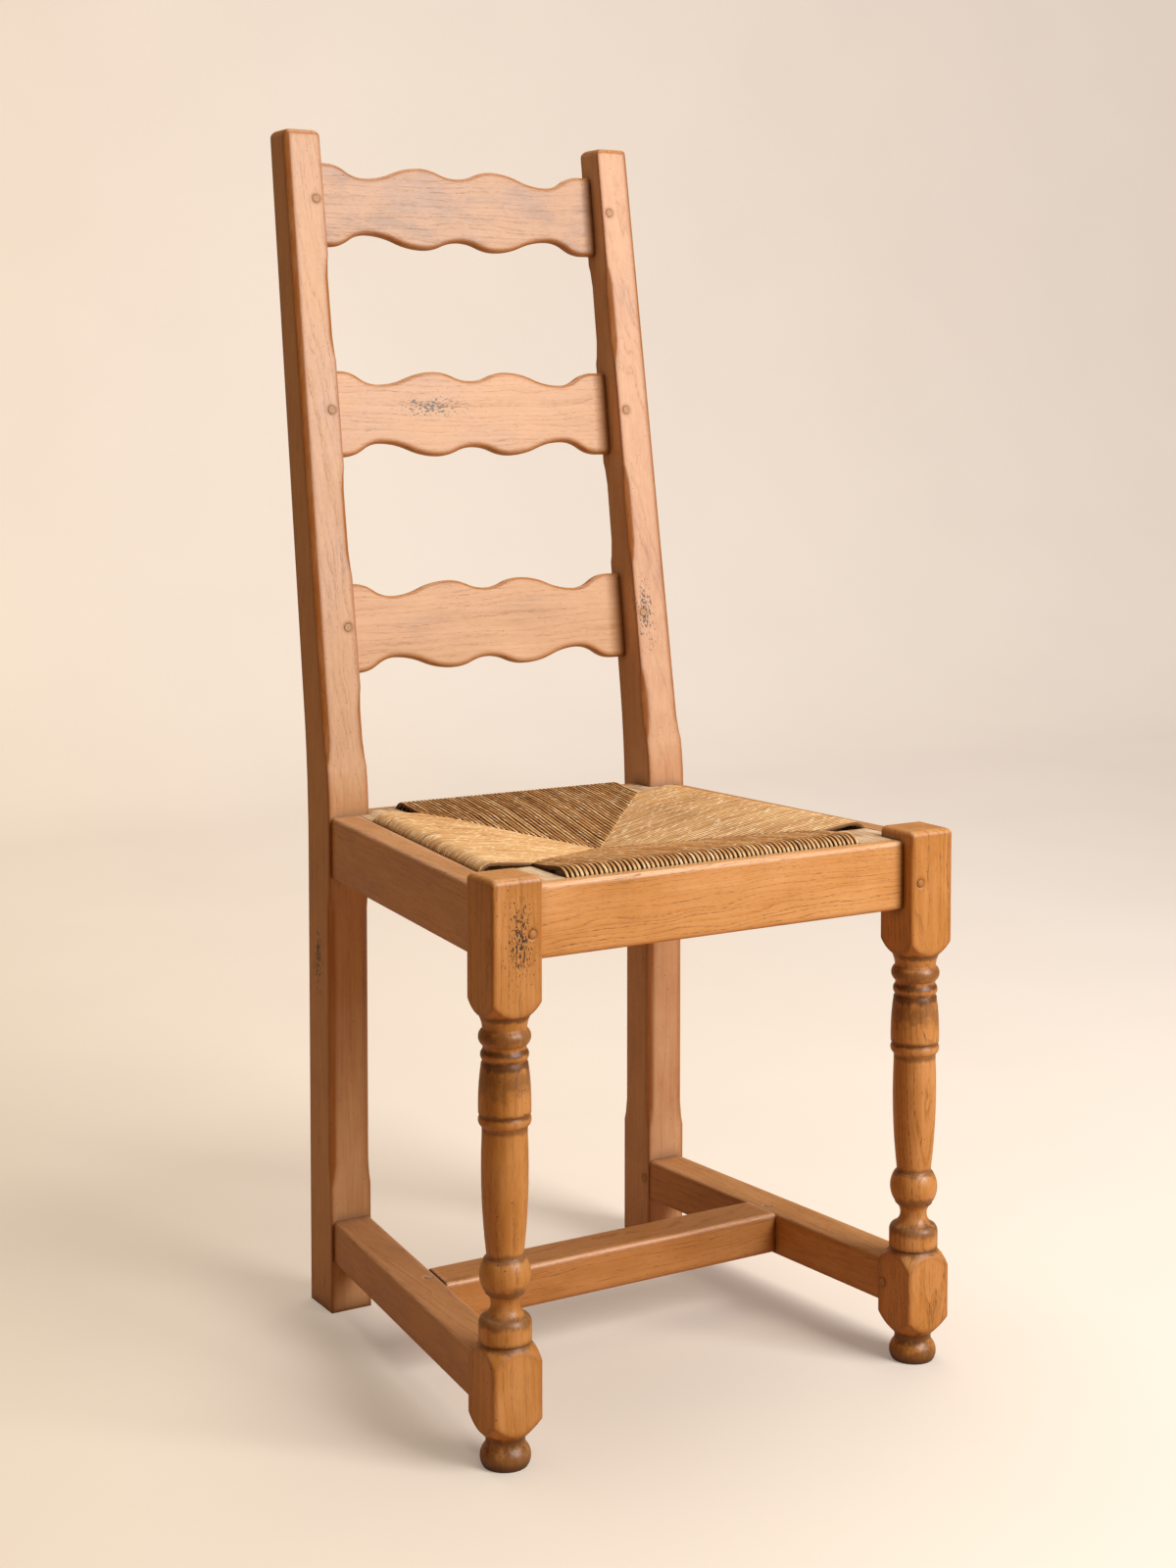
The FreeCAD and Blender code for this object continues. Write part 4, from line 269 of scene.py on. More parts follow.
def oak_grain(tree, in_mm, pith, slant, ring):
    """How much spring wood and how much open pore a point has. pith is the trunk's centre in mm
    across the piece, slant how the rings lean along it, ring one year's growth in mm."""
    tilt = add(tree, "Mapping", {}, {"Vector": in_mm, "Rotation": (slant[0], slant[1], 0.0),
                                     "Location": (pith[0], pith[1], 0.0)})
    # Slow bends of the trunk: 60 mm across and 260 mm along the grain.
    slow = add(tree, "VectorMath", TIMES, {0: in_mm, 1: (1 / 60, 1 / 60, 1 / 260)})
    bend = add(tree, "TexNoise", {}, {"Vector": slow, "Scale": 1.0, "Detail": 3.0, "Roughness": 0.6})
    bent = add(tree, "VectorMath", TIMES_PLUS, {0: bend.outputs["Color"], 1: (34, 34, 0), 2: tilt})
    flat = add(tree, "VectorMath", TIMES, {0: bent, 1: (1, 1, 0)})
    distance = add(tree, "VectorMath", {"operation": "LENGTH"}, {0: flat})
    years = add(tree, "Math", {"operation": "DIVIDE"}, {0: distance, 1: ring})
    # Good and bad summers make wide and narrow rings.
    summers = add(tree, "TexNoise", {"noise_dimensions": "1D"},
                  {"W": years, "Scale": 0.35, "Detail": 2.0})
    uneven = add(tree, "Math", TIMES_PLUS, {0: summers, 1: 3.2, 2: years})
    season = add(tree, "Math", {"operation": "FRACT"}, {0: uneven})
    # Spring wood is a narrow dark band of pores; summer wood is plain.
    spring = add(tree, "MapRange", {},
                 {"Value": season, "From Min": 0.0, "From Max": 0.34, "To Min": 1.0, "To Max": 0.0})
    # Pores of the spring wood: 0.8 mm across, about three times as wide as real ones so that
    # they show, and 7 mm long.
    thin = add(tree, "VectorMath", TIMES, {0: in_mm, 1: (1 / 0.8, 1 / 0.8, 1 / 7)})
    dash = add(tree, "TexNoise", {}, {"Vector": thin, "Scale": 1.0, "Detail": 1.5, "Roughness": 0.6})
    dashes = add(tree, "MapRange", SMOOTH, {"Value": dash, "From Min": 0.44, "From Max": 0.62})
    in_rows = add(tree, "Math", TIMES, {0: dashes, 1: spring})
    # The rows fade in and out every few centimetres, where wax has filled them.
    patches = add(tree, "VectorMath", TIMES, {0: in_mm, 1: (1 / 16, 1 / 16, 1 / 60)})
    filled = add(tree, "TexNoise", {}, {"Vector": patches, "Scale": 1.0, "Detail": 3.0})
    shown = add(tree, "MapRange", SMOOTH,
                {"Value": filled, "From Min": 0.38, "From Max": 0.58, "To Min": 0.4, "To Max": 1.0})
    rows = add(tree, "Math", TIMES, {0: in_rows, 1: shown})
    # Lone ticks between the rows: 0.8 by 6 mm.
    short = add(tree, "VectorMath", TIMES, {0: in_mm, 1: (1 / 0.8, 1 / 0.8, 1 / 6)})
    tick = add(tree, "TexNoise", {}, {"Vector": short, "Scale": 1.0, "Detail": 1.0})
    ticks = add(tree, "MapRange", SMOOTH, {"Value": tick, "From Min": 0.62, "From Max": 0.74})
    pores = add(tree, "Math", TIMES_PLUS, {0: ticks, 1: 0.45, 2: rows})
    return spring, pores


print("grain goes along", sorted(GRAIN_TURN))

# %% [markdown]
# ### Two hundred years of hands and wax
#
# Wear could be painted on by hand, but it follows a rule: it sits on edges. The Bevel
# node bends the normal near an edge, and the difference from the true normal shows
# where hands have rubbed. Stain stays in the turned grooves, at known heights, and the
# few black scars are each at their own place.

# %% Worn edges
def worn_edges(tree, top, fibre, wear, crest_wear_and_highlight, square):
    """The colour of the edges: 8 mm in from each edge a dark line, then worn amber.
    crest_wear_and_highlight is the colour of edges that look up: worn most, and where it is pale, also a
    painted highlight. On square parts every
    rounded or chamfered face is edge too: its normal lies far from the axes."""
    rounded = add(tree, "Bevel", {"samples": 6}, {"Radius": 8 * MM})
    geometry = add(tree, "NewGeometry")
    facing = add(tree, "VectorMath", {"operation": "DOT_PRODUCT"},
                 {0: rounded, 1: geometry.outputs["True Normal"]})
    near = add(tree, "MapRange", {}, {"Value": facing, "From Min": 0.999, "From Max": 0.86})
    if square:
        sizes = add(tree, "VectorMath", {"operation": "ABSOLUTE"}, {0: geometry.outputs["True Normal"]})
        parts = add(tree, "SeparateXYZ", {}, {"Vector": sizes})
        two = add(tree, "Math", LARGER, {0: parts.outputs["X"], 1: parts.outputs["Y"]})
        longest = add(tree, "Math", LARGER, {0: two, 1: parts.outputs["Z"]})
        turned = add(tree, "MapRange", {}, {"Value": longest, "From Min": 0.975, "From Max": 0.80})
        near = add(tree, "Math", LARGER, {0: near, 1: turned})
    amber = add(tree, "ValToRGB",
                {"stops": [(0.0, paint("#74401a")), (0.25, paint("#74401a")),
                           (0.60, paint("#b97029")), (1.0, paint("#a9621f"))]},
                {"Fac": near})
    # Edges that look up take the top-edge colour: wear, and where it is pale a painted highlight.
    upwards = add(tree, "SeparateXYZ", {}, {"Vector": rounded})
    lifted = add(tree, "MapRange", SMOOTH,
                 {"Value": upwards.outputs["Z"], "From Min": 0.25, "From Max": 0.62})
    edge_colour = add(tree, "Mix", BLEND, {"Factor": lifted, 6: amber, 7: paint(crest_wear_and_highlight)})
    # The rubbing is streaky: it follows the fibres.
    streaks = add(tree, "MapRange", SMOOTH,
                  {"Value": fibre, "From Min": 0.30, "From Max": 0.60, "To Min": 0.35, "To Max": 1.0})
    reach = add(tree, "MapRange", SMOOTH,
                {"Value": near, "From Min": 0.05, "From Max": 0.40, "To Min": 0.0, "To Max": wear})
    amount = add(tree, "Math", TIMES, {0: reach, 1: streaks})
    return add(tree, "Mix", BLEND, {"Factor": amount, 6: top, 7: edge_colour})


print("edge wear ready")

# %% Stain in the turning, and scars
def stained_turning(tree, top, in_mm, bands):
    """Dark stain left in and round the grooves of the turning: bands are (height, half width,
    strength), in mm above the floor."""
    height_mm = add(tree, "SeparateXYZ", {}, {"Vector": in_mm}).outputs["Z"]
    spread = add(tree, "VectorMath", {"operation": "SCALE"}, {0: in_mm, "Scale": 1 / 9})
    blot = add(tree, "TexNoise", {}, {"Vector": spread, "Scale": 1.0, "Detail": 4.0, "Roughness": 0.65})
    for level, half_width, strength in bands:
        above = add(tree, "Math", {"operation": "SUBTRACT"}, {0: height_mm, 1: level})
        away = add(tree, "Math", {"operation": "ABSOLUTE"}, {0: above})
        ragged = add(tree, "Math", TIMES_PLUS, {0: blot, 1: -3.0 * half_width, 2: away})
        stain = add(tree, "MapRange", SMOOTH,
                    {"Value": ragged, "From Min": -1.3 * half_width, "From Max": -0.2 * half_width,
                     "To Min": strength, "To Max": 0.0})
        top = add(tree, "Mix", BLEND, {"Factor": stain, 6: top, 7: paint("#4a2711")})
    return top


def black_scar(tree, top, place, in_mm, spot, half):
    """A scar: short black strokes along the grain, thickest in the middle of an ellipse. spot is
    its place and half its half sizes, in metres."""
    from_spot = add(tree, "VectorMath", {"operation": "SUBTRACT"}, {0: place, 1: spot})
    scaled = add(tree, "VectorMath", {"operation": "DIVIDE"}, {0: from_spot, 1: half})
    away = add(tree, "VectorMath", {"operation": "LENGTH"}, {0: scaled})
    thin = add(tree, "VectorMath", TIMES, {0: in_mm, 1: (1 / 1.7, 1 / 1.7, 1 / 4)})
    strokes = add(tree, "TexNoise", {}, {"Vector": thin, "Scale": 1.0, "Detail": 2.5, "Roughness": 0.75})
    ragged = add(tree, "Math", TIMES_PLUS, {0: away, 1: -0.13, 2: strokes})
    black = add(tree, "MapRange", SMOOTH,
                {"Value": ragged, "From Min": 0.44, "From Max": 0.49, "To Min": 0.0, "To Max": 0.95})
    return add(tree, "Mix", BLEND, {"Factor": black, 6: top, 7: paint("#241519")})


print("stain and scars ready")

# %% The oak recipe
def oak(name, grain, pith, slant=(0.012, 0.02), pale="#cf9a66", mid="#b47b47", dark="#7a4a22",
        ring=4.0, rows=0.6, gloom=0.6, wear=0.85, crest_wear_and_highlight="#dcae86", specks=0.5, marks=(), sheen_patch=0.0,
        bands=(), soft=5.0, square=True):
    """Waxed old oak. grain is the axis along the piece, rows how strong the rows of pores are,
    gloom how dark the corners are, with stain and painted shade, wear how strong the edges show,
    specks how many worm specks there are, sheen_patch how strong the painted grey sheen is, soft how
    round the arrises look, in mm, and square says that the faces lie along the axes. The other
    values go to the functions above; marks are the scars, each a spot and its half sizes."""
    material, tree, shader = start_material(name)
    place = add(tree, "TexCoord").outputs["Object"]
    # Scale 1000 counts in millimetres.
    in_mm = add(tree, "Mapping", {},
                {"Vector": place, "Scale": (1000, 1000, 1000), "Rotation": GRAIN_TURN[grain]})
    spring, pores = oak_grain(tree, in_mm, pith, slant, ring)

    # Fibre streaks 3 mm across and 90 mm long, and clouds of old polish, 38 by 90 mm.
    streak = add(tree, "VectorMath", TIMES, {0: in_mm, 1: (1 / 3, 1 / 3, 1 / 90)})
    fibre = add(tree, "TexNoise", {}, {"Vector": streak, "Scale": 1.0, "Detail": 4.0, "Roughness": 0.65})
    patches = add(tree, "VectorMath", TIMES, {0: in_mm, 1: (1 / 38, 1 / 38, 1 / 90)})
    cloud = add(tree, "TexNoise", {}, {"Vector": patches, "Scale": 1.0, "Detail": 5.0, "Roughness": 0.6})
    level = add(tree, "Math", TIMES_PLUS, {0: spring, 1: -0.12 * rows, 2: -0.05})
    level = add(tree, "Math", TIMES_PLUS, {0: fibre, 1: 0.45, 2: level})
    level = add(tree, "Math", TIMES_PLUS, {0: cloud, 1: 0.85, 2: level})
    top = add(tree, "ValToRGB",
              {"stops": [(0.12, paint(dark)), (0.50, paint(mid)), (0.88, paint(pale))]}, {"Fac": level})

    if sheen_patch:
        # Grey patches: a painted reflection of the sheen on the wax.
        dull = add(tree, "VectorMath", TIMES, {0: in_mm, 1: (1 / 24, 1 / 24, 1 / 55)})
        spots = add(tree, "TexNoise", {}, {"Vector": dull, "Scale": 1.0, "Detail": 5.0, "Roughness": 0.7})
        grey_sheen = add(tree, "MapRange", SMOOTH,
                  {"Value": spots, "From Min": 0.42, "From Max": 0.68, "To Min": 0.0, "To Max": sheen_patch})
        top = add(tree, "Mix", BLEND, {"Factor": grey_sheen, 6: top, 7: paint("#94735f")})
    top = worn_edges(tree, top, fibre, wear, crest_wear_and_highlight, square)

    # Darker where two faces meet, next to other parts and in the turned grooves: partly stain and dust,
    # partly painted shade.
    hollow = add(tree, "AmbientOcclusion", {"samples": 6}, {"Distance": 16 * MM})
    open_air = add(tree, "Math", {"operation": "ADD"}, {0: hollow.outputs["AO"], 1: 0.25})
    stain_and_shade = add(tree, "Math", TIMES_PLUS, {0: cloud, 1: -0.5, 2: open_air})
    stain = add(tree, "MapRange", SMOOTH,
                {"Value": stain_and_shade, "From Min": 0.30, "From Max": 0.92, "To Min": gloom, "To Max": 0.0})
    top = add(tree, "Mix", BLEND, {"Factor": stain, 6: top, 7: paint("#3b1e0c")})
    strength = add(tree, "Math", TIMES, {0: pores, 1: rows})
    top = add(tree, "Mix", BLEND, {"Factor": strength, 6: top, 7: paint("#5b3418")})
    top = stained_turning(tree, top, in_mm, bands)

    # Worm specks: 1 mm dots, about 10 mm apart.
    worm = add(tree, "TexVoronoi", {}, {"Vector": in_mm, "Scale": 1 / 10, "Randomness": 1.0})
    dots = add(tree, "MapRange", SMOOTH,
               {"Value": worm, "From Min": 0.045, "From Max": 0.085, "To Min": specks, "To Max": 0.0})
    top = add(tree, "Mix", BLEND, {"Factor": dots, 6: top, 7: paint("#3a1c0b")})
    for spot, half in marks:
        top = black_scar(tree, top, place, in_mm, spot, half)
    tree.links.new(top.outputs[2], shader.inputs["Base Color"])

    # Wax: smooth on the flats, rougher in the pores, with a soft second skin on top.
    gloss = add(tree, "Math", TIMES_PLUS, {0: cloud, 1: 0.30, 2: 0.27})
    rough = add(tree, "Math", TIMES_PLUS, {0: pores, 1: 0.22, 2: gloss})
    tree.links.new(rough.outputs["Value"], shader.inputs["Roughness"])
    shader.inputs["IOR"].default_value = 1.5
    shader.inputs["Coat Weight"].default_value = 0.22
    shader.inputs["Coat Roughness"].default_value = 0.30

    # Hand planing leaves waves of 30 by 80 mm; the pores are tiny trenches; the arrises look round.
    planed = add(tree, "VectorMath", TIMES, {0: in_mm, 1: (1 / 30, 1 / 30, 1 / 80)})
    waves = add(tree, "TexNoise", {}, {"Vector": planed, "Scale": 1.0, "Detail": 1.5})
    fine = add(tree, "Math", TIMES, {0: fibre, 1: 0.15})
    height = add(tree, "Math", TIMES_PLUS, {0: waves, 1: 1.1, 2: fine})
    trenches = add(tree, "Math", TIMES_PLUS, {0: pores, 1: -0.12, 2: height})
    arris = add(tree, "Bevel", {"samples": 6}, {"Radius": soft * MM})
    bump = add(tree, "Bump", {},
               {"Height": trenches, "Strength": 0.6, "Distance": 1.0 * MM, "Normal": arris})
    tree.links.new(bump.outputs["Normal"], shader.inputs["Normal"])
    return material


print("oak recipe ready")

# %% [markdown]
# ## Finishes of the wooden parts
#
# No two boards come from the same place in a tree, so each part gets its own pith and
# its own tone. A pith far to one side gives straight lines on a face, and one that lies
# behind the face gives arches. The grain runs along each part.

# %% Posts, legs, slats, rails and stretchers
# Stain bands of the turning: height above the floor and half width in mm, and strength.
BANDS = ((366, 3.0, 0.7), (350, 6.0, 0.55), (338, 3.0, 0.8), (328, 4.0, 0.75), (316, 12.0, 0.5),
         (287, 2.5, 0.6), (275, 3.0, 0.5), (171, 3.5, 0.5), (144, 5.0, 0.6), (120, 6.0, 0.6),
         (101, 3.5, 0.6), (22, 6.0, 0.75), (6, 12.0, 0.6))
AMBER = "#a5641f"
# Scars: place and half sizes, in metres.
LEFT_POST_SCAR = ((-0.1965, 0.1491, 0.3323), (0.007, 0.008, 0.027))
RIGHT_POST_SCAR = ((0.1665, 0.1489, 0.645), (0.009, 0.009, 0.034))
LEG_SCAR = ((-0.2067, -0.2582, 0.4295), (0.011, 0.010, 0.029))
SLAT_SCAR = ((-0.0445, 0.2055, 0.8517), (0.028, 0.009, 0.009))
# The posts and slats are paler and pinker than the legs: partly their own tone, partly a painted sheen.
wood = {
    "left_back_post": oak(
        "left_post_waxed_oak", "Z", (310, -95), rows=0.22, ring=6.0, pale="#d3a679", mid="#bc8a5c",
        crest_wear_and_highlight=AMBER, marks=[LEFT_POST_SCAR]),
    "right_back_post": oak(
        "right_post_waxed_oak", "Z", (-75, 60), slant=(0.018, -0.01), rows=0.24, ring=6.5,
        pale="#dab08a", mid="#c39068", crest_wear_and_highlight=AMBER, marks=[RIGHT_POST_SCAR]),
    "left_front_leg": oak(
        "left_leg_waxed_oak", "Z", (250, 260), rows=0.42, ring=7.0, gloom=0.95, specks=0.85,
        pale="#d59e63", mid="#b67b35", soft=4.5, square=False, bands=BANDS, marks=[LEG_SCAR]),
    "right_front_leg": oak(
        "right_leg_waxed_oak", "Z", (-222, 285), slant=(0.05, 0.012), rows=0.75, gloom=0.95,
        specks=0.6, pale="#dba268", mid="#be813c", soft=4.5, square=False, bands=BANDS),
    "top_slat": oak(
        "top_slat_waxed_oak", "X", (-260, 330), rows=0.20, ring=6.0, pale="#cda27c", mid="#b38762",
        crest_wear_and_highlight=AMBER, sheen_patch=0.7),
    "middle_slat": oak(
        "middle_slat_waxed_oak", "X", (-60, 300), rows=0.22, ring=7.0, pale="#d8ac82",
        mid="#c19166", crest_wear_and_highlight=AMBER, marks=[SLAT_SCAR]),
    "lower_slat": oak(
        "lower_slat_waxed_oak", "X", (-120, 280), rows=0.20, ring=6.5, pale="#dcb086",
        mid="#c69566", crest_wear_and_highlight=AMBER),
    "front_seat_rail": oak(
        "front_rail_waxed_oak", "X", (-455, -265), slant=(0.03, 0.05), pale="#e2ac72",
        mid="#cc9150", dark="#96642e", rows=0.85, ring=3.4, specks=0.3, crest_wear_and_highlight="#f0cdb0", wear=0.7),
    "back_seat_rail": oak("back_rail_waxed_oak", "X", (-300, 200), rows=0.4),
    "left_seat_rail": oak(
        "left_rail_waxed_oak", "Y", (120, -300), rows=0.3, pale="#d6a374", mid="#b9824c",
        crest_wear_and_highlight="#e4b896"),
    "right_seat_rail": oak("right_rail_waxed_oak", "Y", (-90, -260), rows=0.3),
    "left_side_stretcher": oak("left_stretcher_waxed_oak", "Y", (160, 120), rows=0.35),
    "right_side_stretcher": oak(
        "right_stretcher_waxed_oak", "Y", (-120, 150), rows=0.4, pale="#d9a36c", mid="#bf8549"),
    "cross_stretcher": oak(
        "cross_stretcher_waxed_oak", "X", (-210, 90), rows=0.6, wear=0.95, pale="#cf955a",
        mid="#b87c41", ring=3.6, crest_wear_and_highlight="#e8b992"),
}
for part, finish in wood.items():
    dress(nodes[part], finish)
print("waxed oak on", len(wood), "parts")

# %% [markdown]
# ## Pegs, seat bars and corner blocks
#
# Pegs are cleft oak driven in and trimmed off, so their ends show as small grey-brown
# discs of end grain. The hidden bars of the seat are plain unwaxed wood. The four
# corner blocks get a pale greyish beige on their flat tops, a painted reflection of the
# backdrop in their sheen. One recipe of long fibres and dust serves both, with other colours.

# %% Pegs
pegs, tree, shader = start_material("peg_end_grain_oak")
place = add(tree, "TexCoord").outputs["Object"]
speckle = add(tree, "TexNoise", links={"Vector": place, "Scale": 900.0, "Detail": 2.0})
tone = add(tree, "ValToRGB",
           {"stops": [(0.3, paint("#a17a56")), (0.7, paint("#cba683"))]},
           {"Fac": speckle})
# The rim of each peg holds dark wax: the Bevel node finds it.
rounded = add(tree, "Bevel", {"samples": 4}, {"Radius": 1.0 * MM})
geometry = add(tree, "NewGeometry")
facing = add(tree, "VectorMath", {"operation": "DOT_PRODUCT"},
             {0: rounded, 1: geometry.outputs["True Normal"]})
rim = add(tree, "MapRange", SMOOTH,
          {"Value": facing, "From Min": 0.99, "From Max": 0.86, "To Min": 0.0, "To Max": 0.6})
rimmed = add(tree, "Mix", BLEND, {"Factor": rim, 6: tone, 7: paint("#43291a")})
tree.links.new(rimmed.outputs[2], shader.inputs["Base Color"])
shader.inputs["Roughness"].default_value = 0.6
bump = add(tree, "Bump", links={"Height": speckle, "Strength": 0.4, "Distance": 0.3 * MM})
tree.links.new(bump.outputs["Normal"], shader.inputs["Normal"])
for part in ("slat_pegs", "side_stretcher_pegs", "cross_stretcher_pegs"):
    dress(nodes[part], pegs)
# The pegs of the front rail are stained over and hardly show.
dress(nodes["front_rail_pegs"], oak("stained_over_oak_peg", "Z", (250, 260), rows=0.2, specks=0.3,
                                    wear=0.0, pale="#cf9658", mid="#ad7434"))
print("pegs finished")

# %% Bare wood of the seat frame
def bare_wood(name, grain, pale, mid, dark):
    """Dry unwaxed wood: long fibres 2 mm across, clouds of dust, painted shade in the corners and a dull
    surface.
    """
    material, tree, shader = start_material(name)
    place = add(tree, "TexCoord").outputs["Object"]
    in_mm = add(tree, "Mapping", {},
                {"Vector": place, "Scale": (1000, 1000, 1000), "Rotation": GRAIN_TURN[grain]})
    fibre_place = add(tree, "VectorMath", TIMES, {0: in_mm, 1: (1 / 2.2, 1 / 2.2, 1 / 45)})
    fibre = add(tree, "TexNoise", links={"Vector": fibre_place, "Scale": 1.0, "Detail": 4.0,
                                         "Roughness": 0.65})
    dust = add(tree, "TexNoise", links={"Vector": in_mm, "Scale": 1 / 14, "Detail": 4.0})
    total = add(tree, "Math", TIMES_PLUS, {0: dust, 1: 0.6, 2: fibre})
    tone = add(tree, "ValToRGB",
               {"stops": [(0.58, paint(dark)), (0.8, paint(mid)), (1.0, paint(pale))]},
               {"Fac": total})
    # Painted shade in the corners, where the piece meets others.
    hollow = add(tree, "AmbientOcclusion", {"samples": 4}, {"Distance": 8 * MM})
    corner = add(tree, "MapRange", {},
                 {"Value": hollow.outputs["AO"], "From Min": 0.3, "From Max": 0.9,
                  "To Min": 0.35, "To Max": 0.0})
    shaded = add(tree, "Mix", BLEND, {"Factor": corner, 6: tone, 7: paint("#4d3622")})
    tree.links.new(shaded.outputs[2], shader.inputs["Base Color"])
    shader.inputs["Roughness"].default_value = 0.72
    bump = add(tree, "Bump", links={"Height": total, "Strength": 0.5, "Distance": 0.5 * MM})
    tree.links.new(bump.outputs["Normal"], shader.inputs["Normal"])
    return material


# The blocks' pale greyish beige is a painted reflection of the backdrop in the sheen of their tops.
blocks = bare_wood("corner_block_beech_painted_sheen", "Y", "#e2d0b6", "#cfb493", "#9a7a58")
for part in ("front_left_corner_block", "front_right_corner_block",
             "back_left_corner_block", "back_right_corner_block"):
    dress(nodes[part], blocks)
bars_x = bare_wood("seat_bar_bare_ash_lengthwise", "X", "#c6a273", "#a8824f", "#7a5a33")
bars_y = bare_wood("seat_bar_bare_ash_crosswise", "Y", "#c6a273", "#a8824f", "#7a5a33")
for part, finish in (("seat_frame_front_bar", bars_x), ("seat_frame_back_bar", bars_x),
                     ("seat_frame_left_bar", bars_y), ("seat_frame_right_bar", bars_y)):
    dress(nodes[part], finish)
print("seat frame finished")

# %% Nails
# Forged steel nails, dulled by rust: a metal with a rough brown skin.
nail, tree, shader = start_material("rusty_steel_nail")
place = add(tree, "TexCoord").outputs["Object"]
rust = add(tree, "TexNoise", links={"Vector": place, "Scale": 700.0, "Detail": 3.0})
tone = add(tree, "ValToRGB",
           {"stops": [(0.35, paint("#3a2a22")), (0.65, paint("#6e6660"))]},
           {"Fac": rust})
tree.links.new(tone.outputs["Color"], shader.inputs["Base Color"])
shader.inputs["Metallic"].default_value = 0.8
shader.inputs["Roughness"].default_value = 0.55
dress(nodes["corner_block_nails"], nail)
print("nails finished")

# %% [markdown]
# ## The rush seat
#
# Rush is a marsh plant. Two or three wet leaves are twisted into a cord as the seat is
# wound, and the cord goes over one rail, up through the middle and over the next, so
# four fields of parallel strands grow from the corners and meet along the diagonals.
#
# A woven seat can be drawn as a bump on a flat pad, but then its edge is a straight
# line and its gaps have no depth. Here each strand is a real tube: a curve with a
# round bevel, which goes from the diagonal over the top, round the rail and back
# underneath. Its line wobbles a little, and its thickness changes along the way.

# %% Sizes of the weave, in millimetres
SEAT_FRONT, SEAT_BACK = -231.855, 141.245
FRONT_CORNER, BACK_CORNER = -174.855, 88.245
FRONT_HALF, BACK_HALF = 149.0, 120.0
MIDDLE_Y = -35.555
RUSH_BOTTOM, EDGE_TOP, CROWN_TOP, CROWN_IN, SHOULDER_TOP, SHOULDER_IN, MIDDLE_TOP = (
    440.4, 468.0, 477.5, 15.0, 470.5, 72.0, 448.0)
FRONT_STRANDS, BACK_STRANDS, SIDE_STRANDS = 65, 57, 61
# Half the seat's width at its front line, and how much of it is lost along the sides.
FRONT_LINE, HALF_IN_FRONT, NARROWING, SIDE_LENGTH = -212.955, 203.7, 37.8, 336.2


def seat_half_width(y):
    """Half the seat's width at depth y."""
    return HALF_IN_FRONT - NARROWING * (y - FRONT_LINE) / SIDE_LENGTH


def top_level(inward, centre):
    """Height of the rush top, inward millimetres from the edge; centre is the way to the middle."""
    if inward <= CROWN_IN:
        turn = math.acos(max(-1.0, min(1.0, 1 - inward / CROWN_IN)))
        return EDGE_TOP + (CROWN_TOP - EDGE_TOP) * math.sin(turn)
    if inward <= SHOULDER_IN:
        return CROWN_TOP + (SHOULDER_TOP - CROWN_TOP) * (inward - CROWN_IN) / (SHOULDER_IN - CROWN_IN)
    return SHOULDER_TOP + (MIDDLE_TOP - SHOULDER_TOP) * (inward - SHOULDER_IN) / (centre - SHOULDER_IN)


print("seat depth", round(SEAT_BACK - SEAT_FRONT, 1), "mm, front strands", FRONT_STRANDS)

# %% One strand's line
TUCK_DROP, PEAK_DROP = 3.4, 1.6  # how far a strand's end dives between its neighbours
TOP_STEP, TOP_JITTER, RIPPLE = 5.5, 0.6, 0.12  # points along the top, and how uneven they lie
LIFT_RUN = 16.0  # a lifted end comes down over this length
BEND_START, BEND_STEP, BEND_POINTS, BEND_SINK = 15, 14, 6, 0.3  # degrees round the bar's top edge
WALL_HEIGHTS = (465.0, 459.5, 454.0, 448.5)  # points down the outside of the bar
UNDER_STEP = 9.0  # points along the underside


def strand_line(reach, centre, radius, overhang, lift, chance):
    """(inward, height) points of a strand's centre line: from the diagonal over the top,
    round the bar and back to the diagonal underneath. reach is the way from the edge to the
    diagonal; overhang how far the strand's end curls over its neighbour."""
    end = reach + overhang
    level = top_level(reach, centre) - radius
    points = [(end + 1.0, level - TUCK_DROP), (end + 0.3, level + lift - PEAK_DROP)]
    inward = end - 1.2
    while inward > CROWN_IN + 1.0:
        rise = lift * min(1.0, max(0.0, 1 - (reach - inward) / LIFT_RUN))
        ripple = chance.uniform(-RIPPLE, RIPPLE)
        points.append((inward, top_level(inward, centre) - radius + rise + ripple))
        inward -= TOP_STEP + chance.uniform(-TOP_JITTER, TOP_JITTER)
    for step in range(BEND_POINTS):
        turn = math.radians(BEND_START + BEND_STEP * step)
        points.append((CROWN_IN - (CROWN_IN - radius) * math.sin(turn),
                       EDGE_TOP - BEND_SINK
                       + (CROWN_TOP - EDGE_TOP - radius + BEND_SINK) * math.cos(turn)))
    for height in WALL_HEIGHTS:
        points.append((radius + chance.uniform(0.0, 0.15), height))
    low = RUSH_BOTTOM + radius
    points += [(radius + 0.6, low + 1.6), (radius + 2.4, low + 0.1)]
    inward = radius + UNDER_STEP
    while inward < reach - 2.0:
        points.append((inward, low + chance.uniform(0.0, 0.25)))
        inward += UNDER_STEP
    points.append((reach + 0.5, low + 0.2))
    return points


print("a middle strand has", len(strand_line(196.3, 196.3, 2.2, 2.5, 0.6, random.Random(1))), "points")

# %% [markdown]
# Each field of the seat becomes one object. The strands of a field share one curve
# object, whose round bevel makes the tubes, and the curve is turned into a mesh. Two
# attributes are then written on the mesh: a random tone for each strand and the
# length along it in millimetres, so that the material can colour each strand by itself
# and lay the fibres along it.

